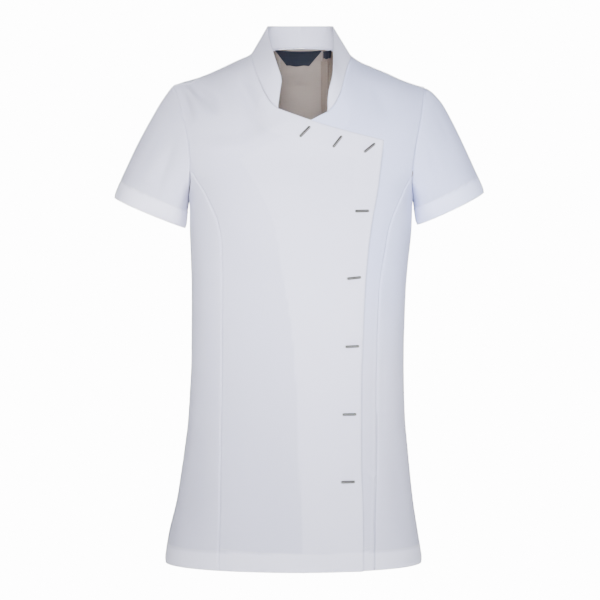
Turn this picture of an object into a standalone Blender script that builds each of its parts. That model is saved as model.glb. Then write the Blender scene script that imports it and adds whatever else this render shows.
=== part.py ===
"""Beautician tunic: a short-sleeved, princess-seamed tunic with a stand collar and an asymmetric overlap.

The tunic keeps the hollow shape that it has when worn. It faces -Y, +Z is up, and the origin is midway
between the two high points of the shoulders, where the collar meets the shoulder seams. "Right" and "left"
are the wearer's, so the right side is at -X. Lengths are metres.

The whole body is one smooth form, read at a place (around, rise):
    around  the turn about the body: 0 at the centre front, 90 degrees at the left side seam,
            180 at the centre back and 270 (or -90) at the right side seam
    rise    the height on the cloth: the plain height up to the chest line, and from there the length
            along the arch that leads over the shoulder
Every panel is a grid between four edges drawn in (around, rise), laid on the form and given its wall.
"""
import math

import bmesh
import bpy
import numpy as np
from mathutils import Matrix, Vector

# ---------------------------------------------------------------- driving sizes
WALL = 0.0016              # cloth with its turnings pressed in
COLLAR_WALL = 0.0022       # two layers of cloth with a stiffener
LABEL_WALL = 0.0010        # folded woven tape
SEAM_GAP = 0.0005          # kept between two panels that are sewn together
LAP_GAP = 0.0014           # kept between the overlap and the underlap

HEM = -0.7555              # height of the hem
UNDERARM = -0.2075         # height of the lowest point of the armhole
CHEST = -0.150             # height where the arch over the shoulder starts
SEAM_TURN = 0.86           # shoulder seam, as a share of the quarter turn from the chest to the ridge
FRONT_ARCH = 1.75          # roundness of the arch from the chest to the ridge, 2 is an ellipse
BACK_ARCH = 2.10
NECK_POINT = 0.0755        # half the width of the neck at the shoulder seam
JUNCTION = -0.176          # height where the front princess seams run into the armholes

LAP_FADE = 0.070           # the overlap settles onto the body over this width beside the underlap
NECK_FADE = 0.040          # and over this height above it
LAP_MARGIN = 0.015         # it is fully clear this far outside the edges of the underlap
BUTTON_LENGTH = 0.0220
BUTTON_RADIUS = 0.0023
BUTTON_GAP = 0.0002

ROWS_BODY = 18             # grid rows from the hem to the armhole
ROWS_ARM_FRONT = 9         # from the princess seam to the shoulder
ROWS_ARM_BACK = 12         # from the side seam to the shoulder
COLS_SIDE = 5              # across a front side panel
COLS_SHOULDER = 6          # along a shoulder seam
COLS_NECK_FRONT = 6        # along the neck seam, from the shoulder to the end of the collar
COLS_NECK_BACK = 3         # along the neck seam, from the shoulder to the back seam
COLS_BACK = 6              # across the back centre panel
COLS_LAP = 6               # along the neck edge of the overlap or underlap
HEM_SHARES = {"right": (0.25, 0.45), "left": (0.30, 0.60)}    # where the grid lines from the neck point and
                           # from the end of the collar meet the hem, from the princess seam to the free edge
EDGE_FADE = 3              # how late the grid of a panel takes on the shape of its edges
ROWS_SLEEVE = 8
ROWS_COLLAR = 3


def table(names, *rows):
    """A short table whose columns are read by name. The first column is the key and rises."""
    return dict(zip(names.split(), np.array(rows, dtype=float).T))


# Outside of the body at each height: where its right and left sides lie, how deep it is in front and behind,
# and how square its section is (2 is an ellipse).
BODY = table(
    "height  right    left    front   back    square",
    (HEM,     -0.2045, 0.1822, 0.1195, 0.1190, 2.10),
    (-0.720,  -0.1995, 0.1765, 0.1175, 0.1170, 2.10),
    (-0.660,  -0.1855, 0.1675, 0.1140, 0.1120, 2.05),
    (-0.600,  -0.1765, 0.1610, 0.1095, 0.1060, 2.10),
    (-0.530,  -0.1680, 0.1555, 0.1030, 0.0965, 2.15),
    (-0.450,  -0.1642, 0.1540, 0.0985, 0.0870, 2.20),
    (-0.350,  -0.1637, 0.1567, 0.1040, 0.0865, 2.30),
    (-0.260,  -0.1665, 0.1650, 0.1190, 0.0975, 2.50),
    (UNDERARM, -0.1675, 0.1670, 0.1205, 0.1020, 2.60),
    (CHEST,   -0.2050, 0.2050, 0.1130, 0.1060, 2.20),
    (0.100,   -0.2050, 0.2050, 0.1130, 0.1060, 2.20),
)

# Height of the shoulder ridge at each distance from the middle.
RIDGE = table(
    "across  right    left",
    (0.000,  0.0480,  0.0480),
    (0.012,  0.0480,  0.0480),
    (0.040,  0.0340,  0.0340),
    (0.0765, 0.0040,  0.0010),
    (0.090, -0.0022, -0.0076),
    (0.105, -0.0092, -0.0139),
    (0.130, -0.0210, -0.0240),
    (0.150, -0.0290, -0.0331),
    (0.171, -0.0350, -0.0407),
    (0.190, -0.0415, -0.0470),
    (0.215, -0.0540, -0.0600),
)

# Lines on the front: the free edges of the right front (overlap) and of the left front (underlap), and the
# princess seams.
FRONT = table(
    "height  overlap  underlap  right_seam  left_seam",
    (HEM,    0.0880,  0.0030, -0.1195, 0.1062),
    (-0.680, 0.0878,  0.0003, -0.1185, 0.1073),
    (-0.600, 0.0860, -0.0030, -0.1175, 0.1095),
    (-0.500, 0.0864, -0.0068, -0.1165, 0.1107),
    (-0.400, 0.0893, -0.0145, -0.1158, 0.1128),
    (-0.345, 0.0920, -0.0237, -0.1150, 0.1155),
    (-0.290, 0.0962, -0.0318, -0.1157, 0.1235),
    (-0.250, 0.1012, -0.0405, -0.1225, 0.1320),
    (-0.210, 0.1085, -0.0583, -0.1395, 0.1485),
    (-0.160, 0.1155, -0.0875, -0.1720, 0.1750),
    (-0.130, 0.1195, -0.1000, -0.1900, 0.1900),
)

# Height of each free neck edge, from the far corner of its lap to the end of the collar.
RIGHT_NECK_EDGE = table(
    "across   height",
    (-0.0340, -0.0867),
    (0.0130,  -0.1054),
    (0.0636,  -0.1200),
    (0.1015,  -0.1290),
    (0.1190,  -0.1335),
)
LEFT_NECK_EDGE = table(
    "across   height",
    (-0.0875, -0.1615),
    (-0.0400, -0.1350),
    (0.0130,  -0.1054),
    (0.0390,  -0.0913),
)

# Neck seam in front, from the end of the collar to just below the shoulder seam.
NECK_FRONT = table(
    "along  right    right_height  left    left_height",
    (0.00,  -0.0340, -0.0867,      0.0390, -0.0913),
    (0.15,  -0.0420, -0.0800,      0.0495, -0.0795),
    (0.38,  -0.0523, -0.0640,      0.0585, -0.0600),
    (0.65,  -0.0630, -0.0400,      0.0645, -0.0375),
    (0.90,  -0.0715, -0.0135,      0.0715, -0.0125),
)

# Neck seam behind, from the nape outwards.
NECK_BACK = table(
    "across  height",
    (0.000,  0.0217),
    (0.018,  0.0212),
    (0.033,  0.0195),
    (0.050,  0.0155),
    (0.066,  0.0085),
)

# Distance of the armhole seam from the middle, at each height.
ARMHOLE = table(
    "height    right   left",
    (UNDERARM, 0.1675, 0.1670),
    (-0.190,   0.1630, 0.1635),
    (-0.175,   0.1625, 0.1635),
    (-0.150,   0.1640, 0.1670),
    (-0.110,   0.1705, 0.1745),
    (-0.090,   0.1765, 0.1785),
    (-0.0625,  0.1840, 0.1830),
    (-0.0450,  0.1920, 0.1860),
)

# Back seams, which start at the neck seam.
BACK = table(
    "height  seam",
    (HEM,    0.1000),
    (-0.600, 0.0860),
    (-0.420, 0.0720),
    (-0.250, 0.0620),
    (-0.120, 0.0400),
    (-0.060, 0.0330),
    (0.060,  0.0330),
)

# Top edge of the collar: 0 is its front end, 1 the shoulder seam, 2 the nape. Depth is Y.
COLLAR_TOP = table(
    "along  right    left    depth    right_height  left_height",
    (0.00,  -0.0281, 0.0470, -0.0990, -0.0433, -0.0390),
    (0.25,  -0.0348, 0.0478, -0.0900, -0.0232, -0.0218),
    (0.50,  -0.0431, 0.0481, -0.0570,  0.0056,  0.0040),
    (0.75,  -0.0475, 0.0483, -0.0290,  0.0260,  0.0255),
    (1.00,  -0.0508, 0.0490, -0.0030,  0.0455,  0.0450),
    (1.50,  -0.0440, 0.0440, 0.0330,  0.0520,  0.0520),
    (2.00,   0.0000, 0.0000, 0.0505,  0.0545,  0.0545),
)

# Mouth of each sleeve: its outer and inner corners as seen from the front, half its depth, and how much lower
# its front is than the line between the corners.
SLEEVES = {
    "right": {"outer": (-0.2808, -0.2097), "inner": (-0.1716, -0.2560), "half_depth": 0.053, "drop": 0.005},
    "left": {"outer": (0.2758, -0.2013), "inner": (0.1725, -0.2510), "half_depth": 0.053, "drop": 0.006},
}

# How far the crown of each sleeve stands out from a straight line, from the armhole to the mouth.
CROWN = table(
    "along  right   left",
    (0.00,  0.0000, 0.0000),
    (0.08,  0.0025, 0.0065),
    (0.22,  0.0048, 0.0105),
    (0.50,  0.0060, 0.0085),
    (0.80,  0.0038, 0.0035),
    (1.00,  0.0000, 0.0000),
)

# Soft folds on the front: from one end to the other, half the width and the depth of the trough.
FOLDS = (
    # start across, start height, end across, end height, half width, depth
    (-0.158, -0.045, -0.112, -0.090, 0.016, 0.0022),
    (-0.095, -0.045, -0.060, -0.112, 0.018, 0.0016),
    (0.106, -0.045, 0.128, -0.100, 0.018, 0.0014),
)

# Bar buttons on the right front: place of the middle and tilt in degrees.
BUTTONS = (
    # across, height, tilt
    (0.0055, -0.1230, 46.0),
    (0.0515, -0.1370, 52.0),
    (0.0972, -0.1452, 38.0),
    (0.0860, -0.2358, 2.0),
    (0.0749, -0.3311, 6.0),
    (0.0725, -0.4311, 2.0),
    (0.0682, -0.5297, 0.0),
    (0.0660, -0.6266, 0.0),
)

# Label and size tab inside the back neck: top and bottom heights, the ends of each edge, and the gap kept to
# the panel behind.
LABELS = {
    "neck_label": {"top": 0.0185, "bottom": -0.0020, "top_ends": (-0.0410, 0.0335),
                   "bottom_ends": (-0.0230, 0.0125), "columns": 8, "gap": 0.0021},
    "size_tab": {"top": 0.0175, "bottom": 0.0075, "top_ends": (0.0350, 0.0472),
                 "bottom_ends": (0.0350, 0.0472), "columns": 2, "gap": 0.0022},
}


# ---------------------------------------------------------------- reading the tables
def read(sheet, name, at):
    """Column `name` at the keys `at`, on a smooth curve through the rows that never overshoots them."""
    keys = next(iter(sheet.values()))
    values = sheet[name]
    steps = np.diff(keys)
    slopes = np.diff(values) / steps
    tangents = np.concatenate((slopes[:1], np.zeros(len(slopes) - 1), slopes[-1:]))
    same_way = slopes[:-1] * slopes[1:] > 0
    pairs = np.where(same_way, slopes[:-1] + slopes[1:], 1.0)
    tangents[1:-1] = np.where(same_way, 2 * slopes[:-1] * slopes[1:] / pairs, 0.0)
    at = np.clip(np.asarray(at, dtype=float), keys[0], keys[-1])
    place = np.clip(np.searchsorted(keys, at, side="right") - 1, 0, len(steps) - 1)
    step = steps[place]
    u = (at - keys[place]) / step
    start = values[place] * (1 + 2 * u) * (1 - u) ** 2 + tangents[place] * step * u * (1 - u) ** 2
    end = values[place + 1] * u * u * (3 - 2 * u) + tangents[place + 1] * step * u * u * (u - 1)
    return start + end


def ease(value):
    """A smooth step from 0 to 1."""
    value = np.clip(value, 0.0, 1.0)
    return value * value * (3 - 2 * value)


# ---------------------------------------------------------------- the form of the body
def reach(across):
    """Height of the arch over the shoulder at a distance from the middle."""
    distance = np.abs(across)
    return np.where(across < 0, read(RIDGE, "right", distance), read(RIDGE, "left", distance)) - CHEST


def middle_and_half(height):
    right = read(BODY, "right", height)
    left = read(BODY, "left", height)
    return (left + right) / 2, (left - right) / 2


def surface(around, rise):
    """Point of the bare form, without folds."""
    low = np.minimum(rise, CHEST)
    middle, half = middle_and_half(low)
    square = read(BODY, "square", low)
    side = np.sin(around)
    across = middle + half * side
    lobe = np.clip(1 - np.abs(side) ** square, 0.0, 1.0) ** (1 / square)
    arch = reach(across)
    turn = np.maximum(rise - CHEST, 0.0) / arch
    height = np.where(rise > CHEST, CHEST + arch * np.sin(turn), rise)
    climb = np.clip(np.abs(np.sin(turn)), 0.0, 1.0)
    front = read(BODY, "front", low) * lobe * (1 - climb ** FRONT_ARCH) ** (1 / FRONT_ARCH)
    back = read(BODY, "back", low) * lobe * (1 - climb ** BACK_ARCH) ** (1 / BACK_ARCH)
    faces_front = np.cos(around) * np.cos(turn) > 0
    return np.stack((across, np.where(faces_front, -front, back), height), axis=-1)


def normal(around, rise):
    """Outward direction of the bare form."""
    small = 1e-3
    along = surface(around + small, rise) - surface(around - small, rise)
    up = surface(around, rise + small) - surface(around, rise - small)
    out = np.cross(along, up)
    return out / np.linalg.norm(out, axis=-1, keepdims=True)


def fold_depth(points):
    """Depth of the soft folds at points of the front."""
    depth = np.zeros(points.shape[:-1])
    for start_x, start_z, end_x, end_z, half_width, trough in FOLDS:
        run = np.array((end_x - start_x, end_z - start_z))
        span = np.linalg.norm(run)
        offset_x = points[..., 0] - start_x
        offset_z = points[..., 2] - start_z
        along = (offset_x * run[0] + offset_z * run[1]) / span**2
        aside = (offset_x * run[1] - offset_z * run[0]) / span
        ends = ease(2.5 * along) * ease(2.5 * (1 - along))
        depth += trough * ends * np.exp(-((aside / half_width) ** 2) * 2)
    return np.where(points[..., 1] < 0, depth, 0.0)


def cloth(around, rise, out=0.0):
    """Point at a distance outside the outer face of the cloth, folds included."""
    bare = surface(around, rise)
    away = np.asarray(out) - fold_depth(bare)
    return bare + normal(around, rise) * away[..., None]


# ---------------------------------------------------------------- places on the form
def around_at(across, height, behind=False):
    """Turn about the body of a point that is known by its distance from the middle."""
    middle, half = middle_and_half(np.minimum(height, CHEST))
    turn = np.arcsin(np.clip((across - middle) / half, -1.0, 1.0))
    return math.pi - turn if behind else turn


def rise_at(across, height):
    """Rise of a point that is known by its height."""
    arch = reach(across)
    turn = np.arcsin(np.clip((height - CHEST) / arch, 0.0, 1.0))
    return np.where(height > CHEST, CHEST + arch * turn, height)


def place(across, height, behind=False):
    across, height = np.broadcast_arrays(np.asarray(across, float), np.asarray(height, float))
    return np.stack((around_at(across, height, behind), rise_at(across, height)), axis=-1)


def on_shoulder_seam(across, behind=False):
    """The shoulder seam lies just in front of the ridge, so the back panel wraps over it."""
    across = np.asarray(across, dtype=float)
    turn = (2 - SEAM_TURN if behind else SEAM_TURN) * math.pi / 2
    around = around_at(across, np.full_like(across, CHEST), behind)
    return np.stack((around, CHEST + reach(across) * turn), axis=-1)


def shoulder_tip(side):
    """Place across where the shoulder seam ends at the armhole."""
    sign = -1 if side == "right" else 1
    across = sign * 0.19
    for _ in range(20):
        height = CHEST + reach(across) * math.sin(SEAM_TURN * math.pi / 2)
        across = sign * float(read(ARMHOLE, side, height))
    return across


def armhole_front(side):
    """Armhole seam from the princess seam up to the shoulder seam."""
    sign = -1 if side == "right" else 1
    tip = shoulder_tip(side)
    top = CHEST + reach(tip) * SEAM_TURN * math.pi / 2
    rises = np.linspace(JUNCTION, top, ROWS_ARM_FRONT + 1)
    return armhole_at(side, sign, rises, behind=False)


def armhole_back(side):
    """Armhole seam from the side seam up and over the ridge to the shoulder seam."""
    sign = -1 if side == "right" else 1
    tip = shoulder_tip(side)
    top = CHEST + reach(tip) * (2 - SEAM_TURN) * math.pi / 2
    share = np.linspace(0, 1, ROWS_ARM_BACK + 1)
    rises = UNDERARM + (top - UNDERARM) * (0.2 * share + 0.8 * share**2)
    return armhole_at(side, sign, rises, behind=True)


def armhole_under(side):
    """Armhole seam from the princess seam down to the side seam."""
    sign = -1 if side == "right" else 1
    share = np.linspace(1, 0, COLS_SIDE + 1)
    rises = UNDERARM + (JUNCTION - UNDERARM) * share**2
    return armhole_at(side, sign, rises, behind=False)


def armhole_at(side, sign, rises, behind):
    across = np.full_like(rises, sign * 0.18)
    for _ in range(12):
        arch = reach(across)
        turn = np.maximum(rises - CHEST, 0.0) / arch
        height = np.where(rises > CHEST, CHEST + arch * np.sin(turn), rises)
        across = sign * read(ARMHOLE, side, height)
    around = around_at(across, np.minimum(rises, CHEST), behind)
    return np.stack((around, rises), axis=-1)


def smooth_line(points, count):
    """Evenly spaced places on a smooth line through a few places."""
    spans = np.linalg.norm(np.diff(points, axis=0) * (0.19, 1.0), axis=1)
    along = np.concatenate(((0.0,), np.cumsum(spans))) / spans.sum()
    line = {"along": along, "around": points[:, 0], "rise": points[:, 1]}
    wanted = np.linspace(0, 1, count + 1)
    return np.stack((read(line, "around", wanted), read(line, "rise", wanted)), axis=-1)


def neck_front(side):
    """Neck seam from the end of the collar to the shoulder seam."""
    sign = -1 if side == "right" else 1
    rows = place(NECK_FRONT[side], NECK_FRONT[side + "_height"])
    top = on_shoulder_seam([sign * NECK_POINT])
    return smooth_line(np.concatenate((rows, top)), COLS_NECK_FRONT)


def neck_back(side):
    """Neck seam from the shoulder seam over the ridge to the back seam."""
    sign = -1 if side == "right" else 1
    top = on_shoulder_seam([sign * NECK_POINT], behind=True)
    outer = NECK_BACK["across"][:1:-1]
    rows = place(sign * outer, NECK_BACK["height"][:1:-1], behind=True)
    return smooth_line(np.concatenate((top, rows)), COLS_NECK_BACK)


def neck_nape():
    """Neck seam across the back centre panel, from the left back seam to the right one."""
    seam = BACK["seam"][-1]
    across = np.linspace(seam, -seam, COLS_BACK + 1)
    return place(across, read(NECK_BACK, "height", np.abs(across)), behind=True)


def shoulder_line(side, behind=False):
    """Shoulder seam from the armhole to the neck."""
    tip = shoulder_tip(side)
    neck = math.copysign(NECK_POINT, tip)
    return on_shoulder_seam(np.linspace(tip, neck, COLS_SHOULDER + 1), behind)


# ---------------------------------------------------------------- panels
def patch(first, last, shares, top):
    """Grid of places: rows run up from the hem, columns run from the first edge to the last at the given
    shares of the width. It is even in the middle, and takes on the shape of each edge as it nears it."""
    t = np.linspace(0, 1, len(first))[:, None, None]
    s = shares[None, :, None]
    plain = (1 - t) * ((1 - s) * first[0] + s * last[0]) + t * ((1 - s) * first[-1] + s * last[-1])
    first_bend = (1 - s) ** EDGE_FADE * (first[:, None] - plain[:, :1])
    last_bend = s**EDGE_FADE * (last[:, None] - plain[:, -1:])
    return plain + first_bend + last_bend + t**EDGE_FADE * (top[None] - plain[-1:])


def inset(grid, first=0.0, last=0.0, top=0.0):
    """Draw the edges of a grid inwards by real distances, so that sewn panels keep their gap."""
    scale = np.array((0.19, 1.0))
    flat = grid * scale
    moved = flat.copy()
    turn = 1 if flat[0, -1, 0] > flat[0, 0, 0] else -1
    for amount, line, where in (
        (first, flat[:, 0], (slice(None), 0)),
        (last, flat[::-1, -1], (slice(None, None, -1), -1)),
        (top, flat[-1], (-1, slice(None))),
    ):
        run = np.diff(line, axis=0)
        run = run / np.linalg.norm(run, axis=1, keepdims=True)
        side = np.stack((run[:, 1], -run[:, 0]), axis=1) * turn
        before = np.concatenate((side[:1], side))
        after = np.concatenate((side, side[-1:]))
        corner = 1 + np.sum(before * after, axis=1, keepdims=True)
        moved[where] += amount * (before + after) / corner
    return moved / scale


def grid_object(name, points, material, collection, wall, grow=1.0, ring=False):
    """Lay a grid on points[row][column] and give it a wall. A ring closes on its first column."""
    rows = points.shape[0] - 1
    cols = points.shape[1] - 1
    mesh = bpy.data.meshes.new(name)
    bm = bmesh.new()
    bmesh.ops.create_grid(bm, x_segments=cols, y_segments=rows, size=0.5)
    for vert in bm.verts:
        col = round((vert.co.x + 0.5) * cols)
        row = round((vert.co.y + 0.5) * rows)
        vert.co = Vector(points[row, col])
    if ring:
        bmesh.ops.remove_doubles(bm, verts=bm.verts, dist=1e-6)
    bm.to_mesh(mesh)
    bm.free()
    mesh.shade_smooth()
    mesh.materials.append(material)
    piece = bpy.data.objects.new(name, mesh)
    collection.objects.link(piece)
    solid = piece.modifiers.new("wall", "SOLIDIFY")
    solid.thickness = wall
    solid.offset = grow
    return piece


def panel(name, grid, material, collection, lift=0.0):
    """A panel: its grid is laid on the inner face of the cloth and the wall grows outwards."""
    if grid[0, -1, 0] < grid[0, 0, 0]:
        grid = grid[:, ::-1]
        lift = lift[:, ::-1] if np.ndim(lift) else lift
    points = cloth(grid[..., 0], grid[..., 1], out=lift - WALL)
    return grid_object(name, points, material, collection, WALL)


def even(count):
    return np.linspace(0, 1, count + 1)


def princess_line(side):
    """Princess seam from the hem to the armhole."""
    heights = np.linspace(HEM, JUNCTION, ROWS_BODY + 1)
    line = place(read(FRONT, side + "_seam", heights), heights)
    line[-1] = armhole_front(side)[0]
    return line


def side_line(behind, sign):
    heights = np.linspace(HEM, UNDERARM, ROWS_BODY + 1)
    turn = math.pi - sign * math.pi / 2 if behind else sign * math.pi / 2
    return np.stack((np.full_like(heights, turn), heights), axis=-1)


def to_width(places):
    """Places on the front with the distance from the middle instead of the turn about the body."""
    middle, half = middle_and_half(np.minimum(places[..., 1], CHEST))
    return np.stack((middle + half * np.sin(places[..., 0]), places[..., 1]), axis=-1)


def to_turn(places):
    """The way back from to_width."""
    return np.stack((around_at(places[..., 0], places[..., 1]), places[..., 1]), axis=-1)


def front_centre_grid(side):
    """The front from its princess seam to its free edge, below the shoulder, neck seam and neck edge."""
    lap, edge = ("overlap", RIGHT_NECK_EDGE) if side == "right" else ("underlap", LEFT_NECK_EDGE)
    outer = np.concatenate((princess_line(side), armhole_front(side)[1:]))
    collar_end = NECK_FRONT[side][0]
    corner = edge["across"][-1] if side == "right" else edge["across"][0]
    across = np.linspace(collar_end, corner, COLS_LAP + 1)
    neck_edge = place(across, read(edge, "height", across))
    top = np.concatenate((shoulder_line(side), neck_front(side)[-2::-1], neck_edge[1:]))
    heights = np.linspace(HEM, read(edge, "height", corner), len(outer))
    free = place(read(FRONT, lap, heights), heights)
    free[-1] = top[-1]
    ends = (0, COLS_SHOULDER, COLS_SHOULDER + COLS_NECK_FRONT, len(top) - 1)
    shares = np.interp(np.arange(len(top)), ends, (0.0, *HEM_SHARES[side], 1.0))
    return to_turn(patch(to_width(outer), to_width(free), shares, to_width(top)))


def lap_lift(grid):
    """How far the overlap stands off the body: clear of the underlap, and settled beyond its edges."""
    points = surface(grid[..., 0], grid[..., 1])
    past_edge = points[..., 0] - read(FRONT, "underlap", points[..., 2])
    below_neck = read(LEFT_NECK_EDGE, "height", points[..., 0]) - points[..., 2]
    beside = ease((past_edge + LAP_FADE) / (LAP_FADE - LAP_MARGIN))
    above = ease((below_neck + NECK_FADE) / (NECK_FADE - LAP_MARGIN))
    return (WALL + LAP_GAP) * beside * above


def front_side_grid(side):
    sign = -1 if side == "right" else 1
    return patch(princess_line(side), side_line(False, sign), even(COLS_SIDE), armhole_under(side))


def back_seam_line(sign):
    across = BACK["seam"][-1]
    top = rise_at(across, read(NECK_BACK, "height", across))
    share = np.linspace(0, 1, ROWS_ARM_BACK + 1)[1:]
    upper = UNDERARM + (top - UNDERARM) * (0.4 * share + 0.6 * ease(share))
    rises = np.concatenate((np.linspace(HEM, UNDERARM, ROWS_BODY + 1), upper))
    turn = np.maximum(rises - CHEST, 0.0) / reach(across)
    heights = np.where(rises > CHEST, CHEST + reach(across) * np.sin(turn), rises)
    seam = middle_and_half(rises)[0] + sign * read(BACK, "seam", heights)
    return np.stack((around_at(seam, np.minimum(heights, CHEST), behind=True), rises), axis=-1)


def back_side_grid(side):
    sign = -1 if side == "right" else 1
    outer = np.concatenate((side_line(True, sign), armhole_back(side)[1:]))
    top = np.concatenate((shoulder_line(side, behind=True), neck_back(side)[1:]))
    return patch(outer, back_seam_line(sign), even(len(top) - 1), top)


def back_centre_grid():
    return patch(back_seam_line(1), back_seam_line(-1), even(COLS_BACK), neck_nape())


def build_panels(white, collection):
    half = SEAM_GAP / 2
    for side in ("right", "left"):
        centre = inset(front_centre_grid(side), first=half, top=half)
        lift = lap_lift(centre) if side == "right" else 0.0
        panel(side + "_front_centre", centre, white, collection, lift)
        panel(side + "_front_side", inset(front_side_grid(side), half, half, half), white, collection)
        panel(side + "_back", inset(back_side_grid(side), half, half, half), white, collection)
    panel("back_centre", inset(back_centre_grid(), half, half, half), white, collection)


# ---------------------------------------------------------------- sleeves
def armhole_ring(side):
    """Places round the armhole: from the shoulder seam down the front, and up the back."""
    front = armhole_front(side)[::-1]
    under = armhole_under(side)
    back = armhole_back(side)
    return np.concatenate((front, under[1:], back[1:])), len(front) + len(under) - 2


def sleeve_points(side):
    """Rings of the sleeve from the armhole to its mouth."""
    sign = -1 if side == "right" else 1
    ring, lowest = armhole_ring(side)
    base = cloth(ring[:, 0], ring[:, 1])
    spans = np.linalg.norm(np.diff(base, axis=0), axis=1)
    length = np.concatenate(((0.0,), np.cumsum(spans)))
    down = length[: lowest + 1] / length[lowest]
    up = (length[lowest:] - length[lowest]) / (length[-1] - length[lowest])
    turn = math.pi * np.concatenate((down, 1 + up[1:]))

    # Clear of the body's own edge: outwards along the shoulder, and off the side of the body underneath.
    base[:, 0] += sign * (SEAM_GAP / 2 + 0.0009 * (1 + np.cos(turn)) / 2)
    base += normal(ring[:, 0], ring[:, 1]) * (0.0006 * ease((1 - np.cos(turn)) - 1))[:, None]

    mouth = SLEEVES[side]
    outer = np.array((mouth["outer"][0], 0.0, mouth["outer"][1]))
    inner = np.array((mouth["inner"][0], 0.0, mouth["inner"][1]))
    centre = (outer + inner) / 2
    half = (outer - inner) / 2
    forward = np.array((0.0, -mouth["half_depth"], -mouth["drop"]))
    end = centre + np.cos(turn)[:, None] * half + np.sin(turn)[:, None] * forward

    crown = np.array((sign * 0.8, 0.0, 0.6))
    share = np.linspace(0, 1, ROWS_SLEEVE + 1)[:, None, None]
    rings = base[None] * (1 - share) + end[None] * share
    weight = np.clip(np.cos(turn / 2), -1, 1) ** 2
    rings += read(CROWN, side, share) * weight[None, :, None] * crown
    return rings[:, ::-1] if side == "right" else rings


def build_sleeves(white, collection):
    for side in ("right", "left"):
        grid_object(side + "_sleeve", sleeve_points(side), white, collection, WALL, grow=-1.0, ring=True)


# ---------------------------------------------------------------- collar
def build_collar(white, collection):
    """A stand from the right front end, round the nape, to the left front end."""
    right = np.concatenate((neck_front("right"), neck_back("right")[1:]))
    left = np.concatenate((neck_front("left"), neck_back("left")[1:]))
    nape = neck_nape()[::-1]
    right[:, 0] = np.mod(right[:, 0], 2 * math.pi)
    base = np.concatenate((cloth(right[:, 0], right[:, 1]), cloth(nape[1:-1, 0], nape[1:-1, 1]),
                           cloth(left[::-1, 0], left[::-1, 1])))
    behind = COLS_NECK_BACK + COLS_BACK // 2
    half_way = np.concatenate((np.linspace(0, 1, COLS_NECK_FRONT + 1), 1 + np.arange(1, behind + 1) / behind))
    along = np.concatenate((half_way, half_way[-2::-1]))
    on_right = np.arange(len(along)) < len(half_way)
    top = np.stack((
        np.where(on_right, read(COLLAR_TOP, "right", along), read(COLLAR_TOP, "left", along)),
        read(COLLAR_TOP, "depth", along),
        np.where(on_right, read(COLLAR_TOP, "right_height", along), read(COLLAR_TOP, "left_height", along)),
    ), axis=-1)
    rise = top - base
    base = base + SEAM_GAP * 2 * rise / np.linalg.norm(rise, axis=1, keepdims=True)
    share = np.linspace(0, 1, ROWS_COLLAR + 1)[:, None, None]
    points = base[None] * (1 - share) + top[None] * share
    grid_object("collar", points[:, ::-1], white, collection, COLLAR_WALL, grow=-1.0)


# ---------------------------------------------------------------- labels and buttons
def build_labels(navy, collection):
    """The label and the size tab lie on the inner face of the back, just below the collar."""
    for name, size in LABELS.items():
        share = np.linspace(0, 1, size["columns"] + 1)
        levels = np.linspace(0, 1, 4)
        grid = np.zeros((len(levels), len(share), 2))
        for row, level in enumerate(levels):
            ends = [low + (high - low) * level for low, high in zip(size["bottom_ends"], size["top_ends"])]
            height = size["bottom"] + (size["top"] - size["bottom"]) * level
            grid[row] = place(ends[1] + (ends[0] - ends[1]) * share, height, behind=True)
        points = cloth(grid[..., 0], grid[..., 1], out=-(WALL + size["gap"] + LABEL_WALL))
        grid_object(name, points, navy, collection, LABEL_WALL)


def build_buttons(steel, collection):
    """Round-ended bars that lie on the right front."""
    mesh = bpy.data.meshes.new("bar_button")
    bm = bmesh.new()
    bmesh.ops.create_uvsphere(bm, u_segments=10, v_segments=8, radius=BUTTON_RADIUS)
    bmesh.ops.rotate(bm, verts=bm.verts, matrix=Matrix.Rotation(math.pi / 2, 3, "Y"))
    stretch = BUTTON_LENGTH / 2 - BUTTON_RADIUS
    for vert in bm.verts:
        if abs(vert.co.x) > 1e-6:
            vert.co.x += math.copysign(stretch, vert.co.x)
    bm.to_mesh(mesh)
    bm.free()
    mesh.shade_smooth()
    mesh.materials.append(steel)
    for number, (across, height, tilt) in enumerate(BUTTONS, start=1):
        spot = place(across, height)[None]
        lift = lap_lift(spot) + BUTTON_RADIUS + BUTTON_GAP
        centre = cloth(spot[:, 0], spot[:, 1], out=lift)[0]
        facing = Vector(normal(spot[:, 0], spot[:, 1])[0])
        level = Vector((0, 0, 1)).cross(facing).normalized()
        up = facing.cross(level)
        bar = level * math.cos(math.radians(tilt)) + up * math.sin(math.radians(tilt))
        turned = Matrix((bar, facing.cross(bar), facing)).transposed().to_4x4()
        button = bpy.data.objects.new(f"button_{number}", mesh)
        button.matrix_world = Matrix.Translation(centre) @ turned
        collection.objects.link(button)


# ---------------------------------------------------------------- materials and scene
def finish(name, colour, roughness, metallic=0.0):
    material = bpy.data.materials.new(name)
    material.use_nodes = True
    shader = material.node_tree.nodes["Principled BSDF"]
    shader.inputs["Base Color"].default_value = (*colour, 1.0)
    shader.inputs["Roughness"].default_value = roughness
    shader.inputs["Metallic"].default_value = metallic
    material.diffuse_color = (*colour, 1.0)
    return material


def main():
    for old in list(bpy.data.objects):
        bpy.data.objects.remove(old)
    collection = bpy.data.collections.new("beautician_tunic")
    bpy.context.scene.collection.children.link(collection)
    white = finish("white_twill", (0.84, 0.86, 0.88), 0.80)
    steel = finish("satin_steel", (0.60, 0.60, 0.61), 0.25, metallic=1.0)
    navy = finish("navy_tape", (0.012, 0.020, 0.060), 0.70)
    build_panels(white, collection)
    build_sleeves(white, collection)
    build_collar(white, collection)
    build_labels(navy, collection)
    build_buttons(steel, collection)


main()
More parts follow.
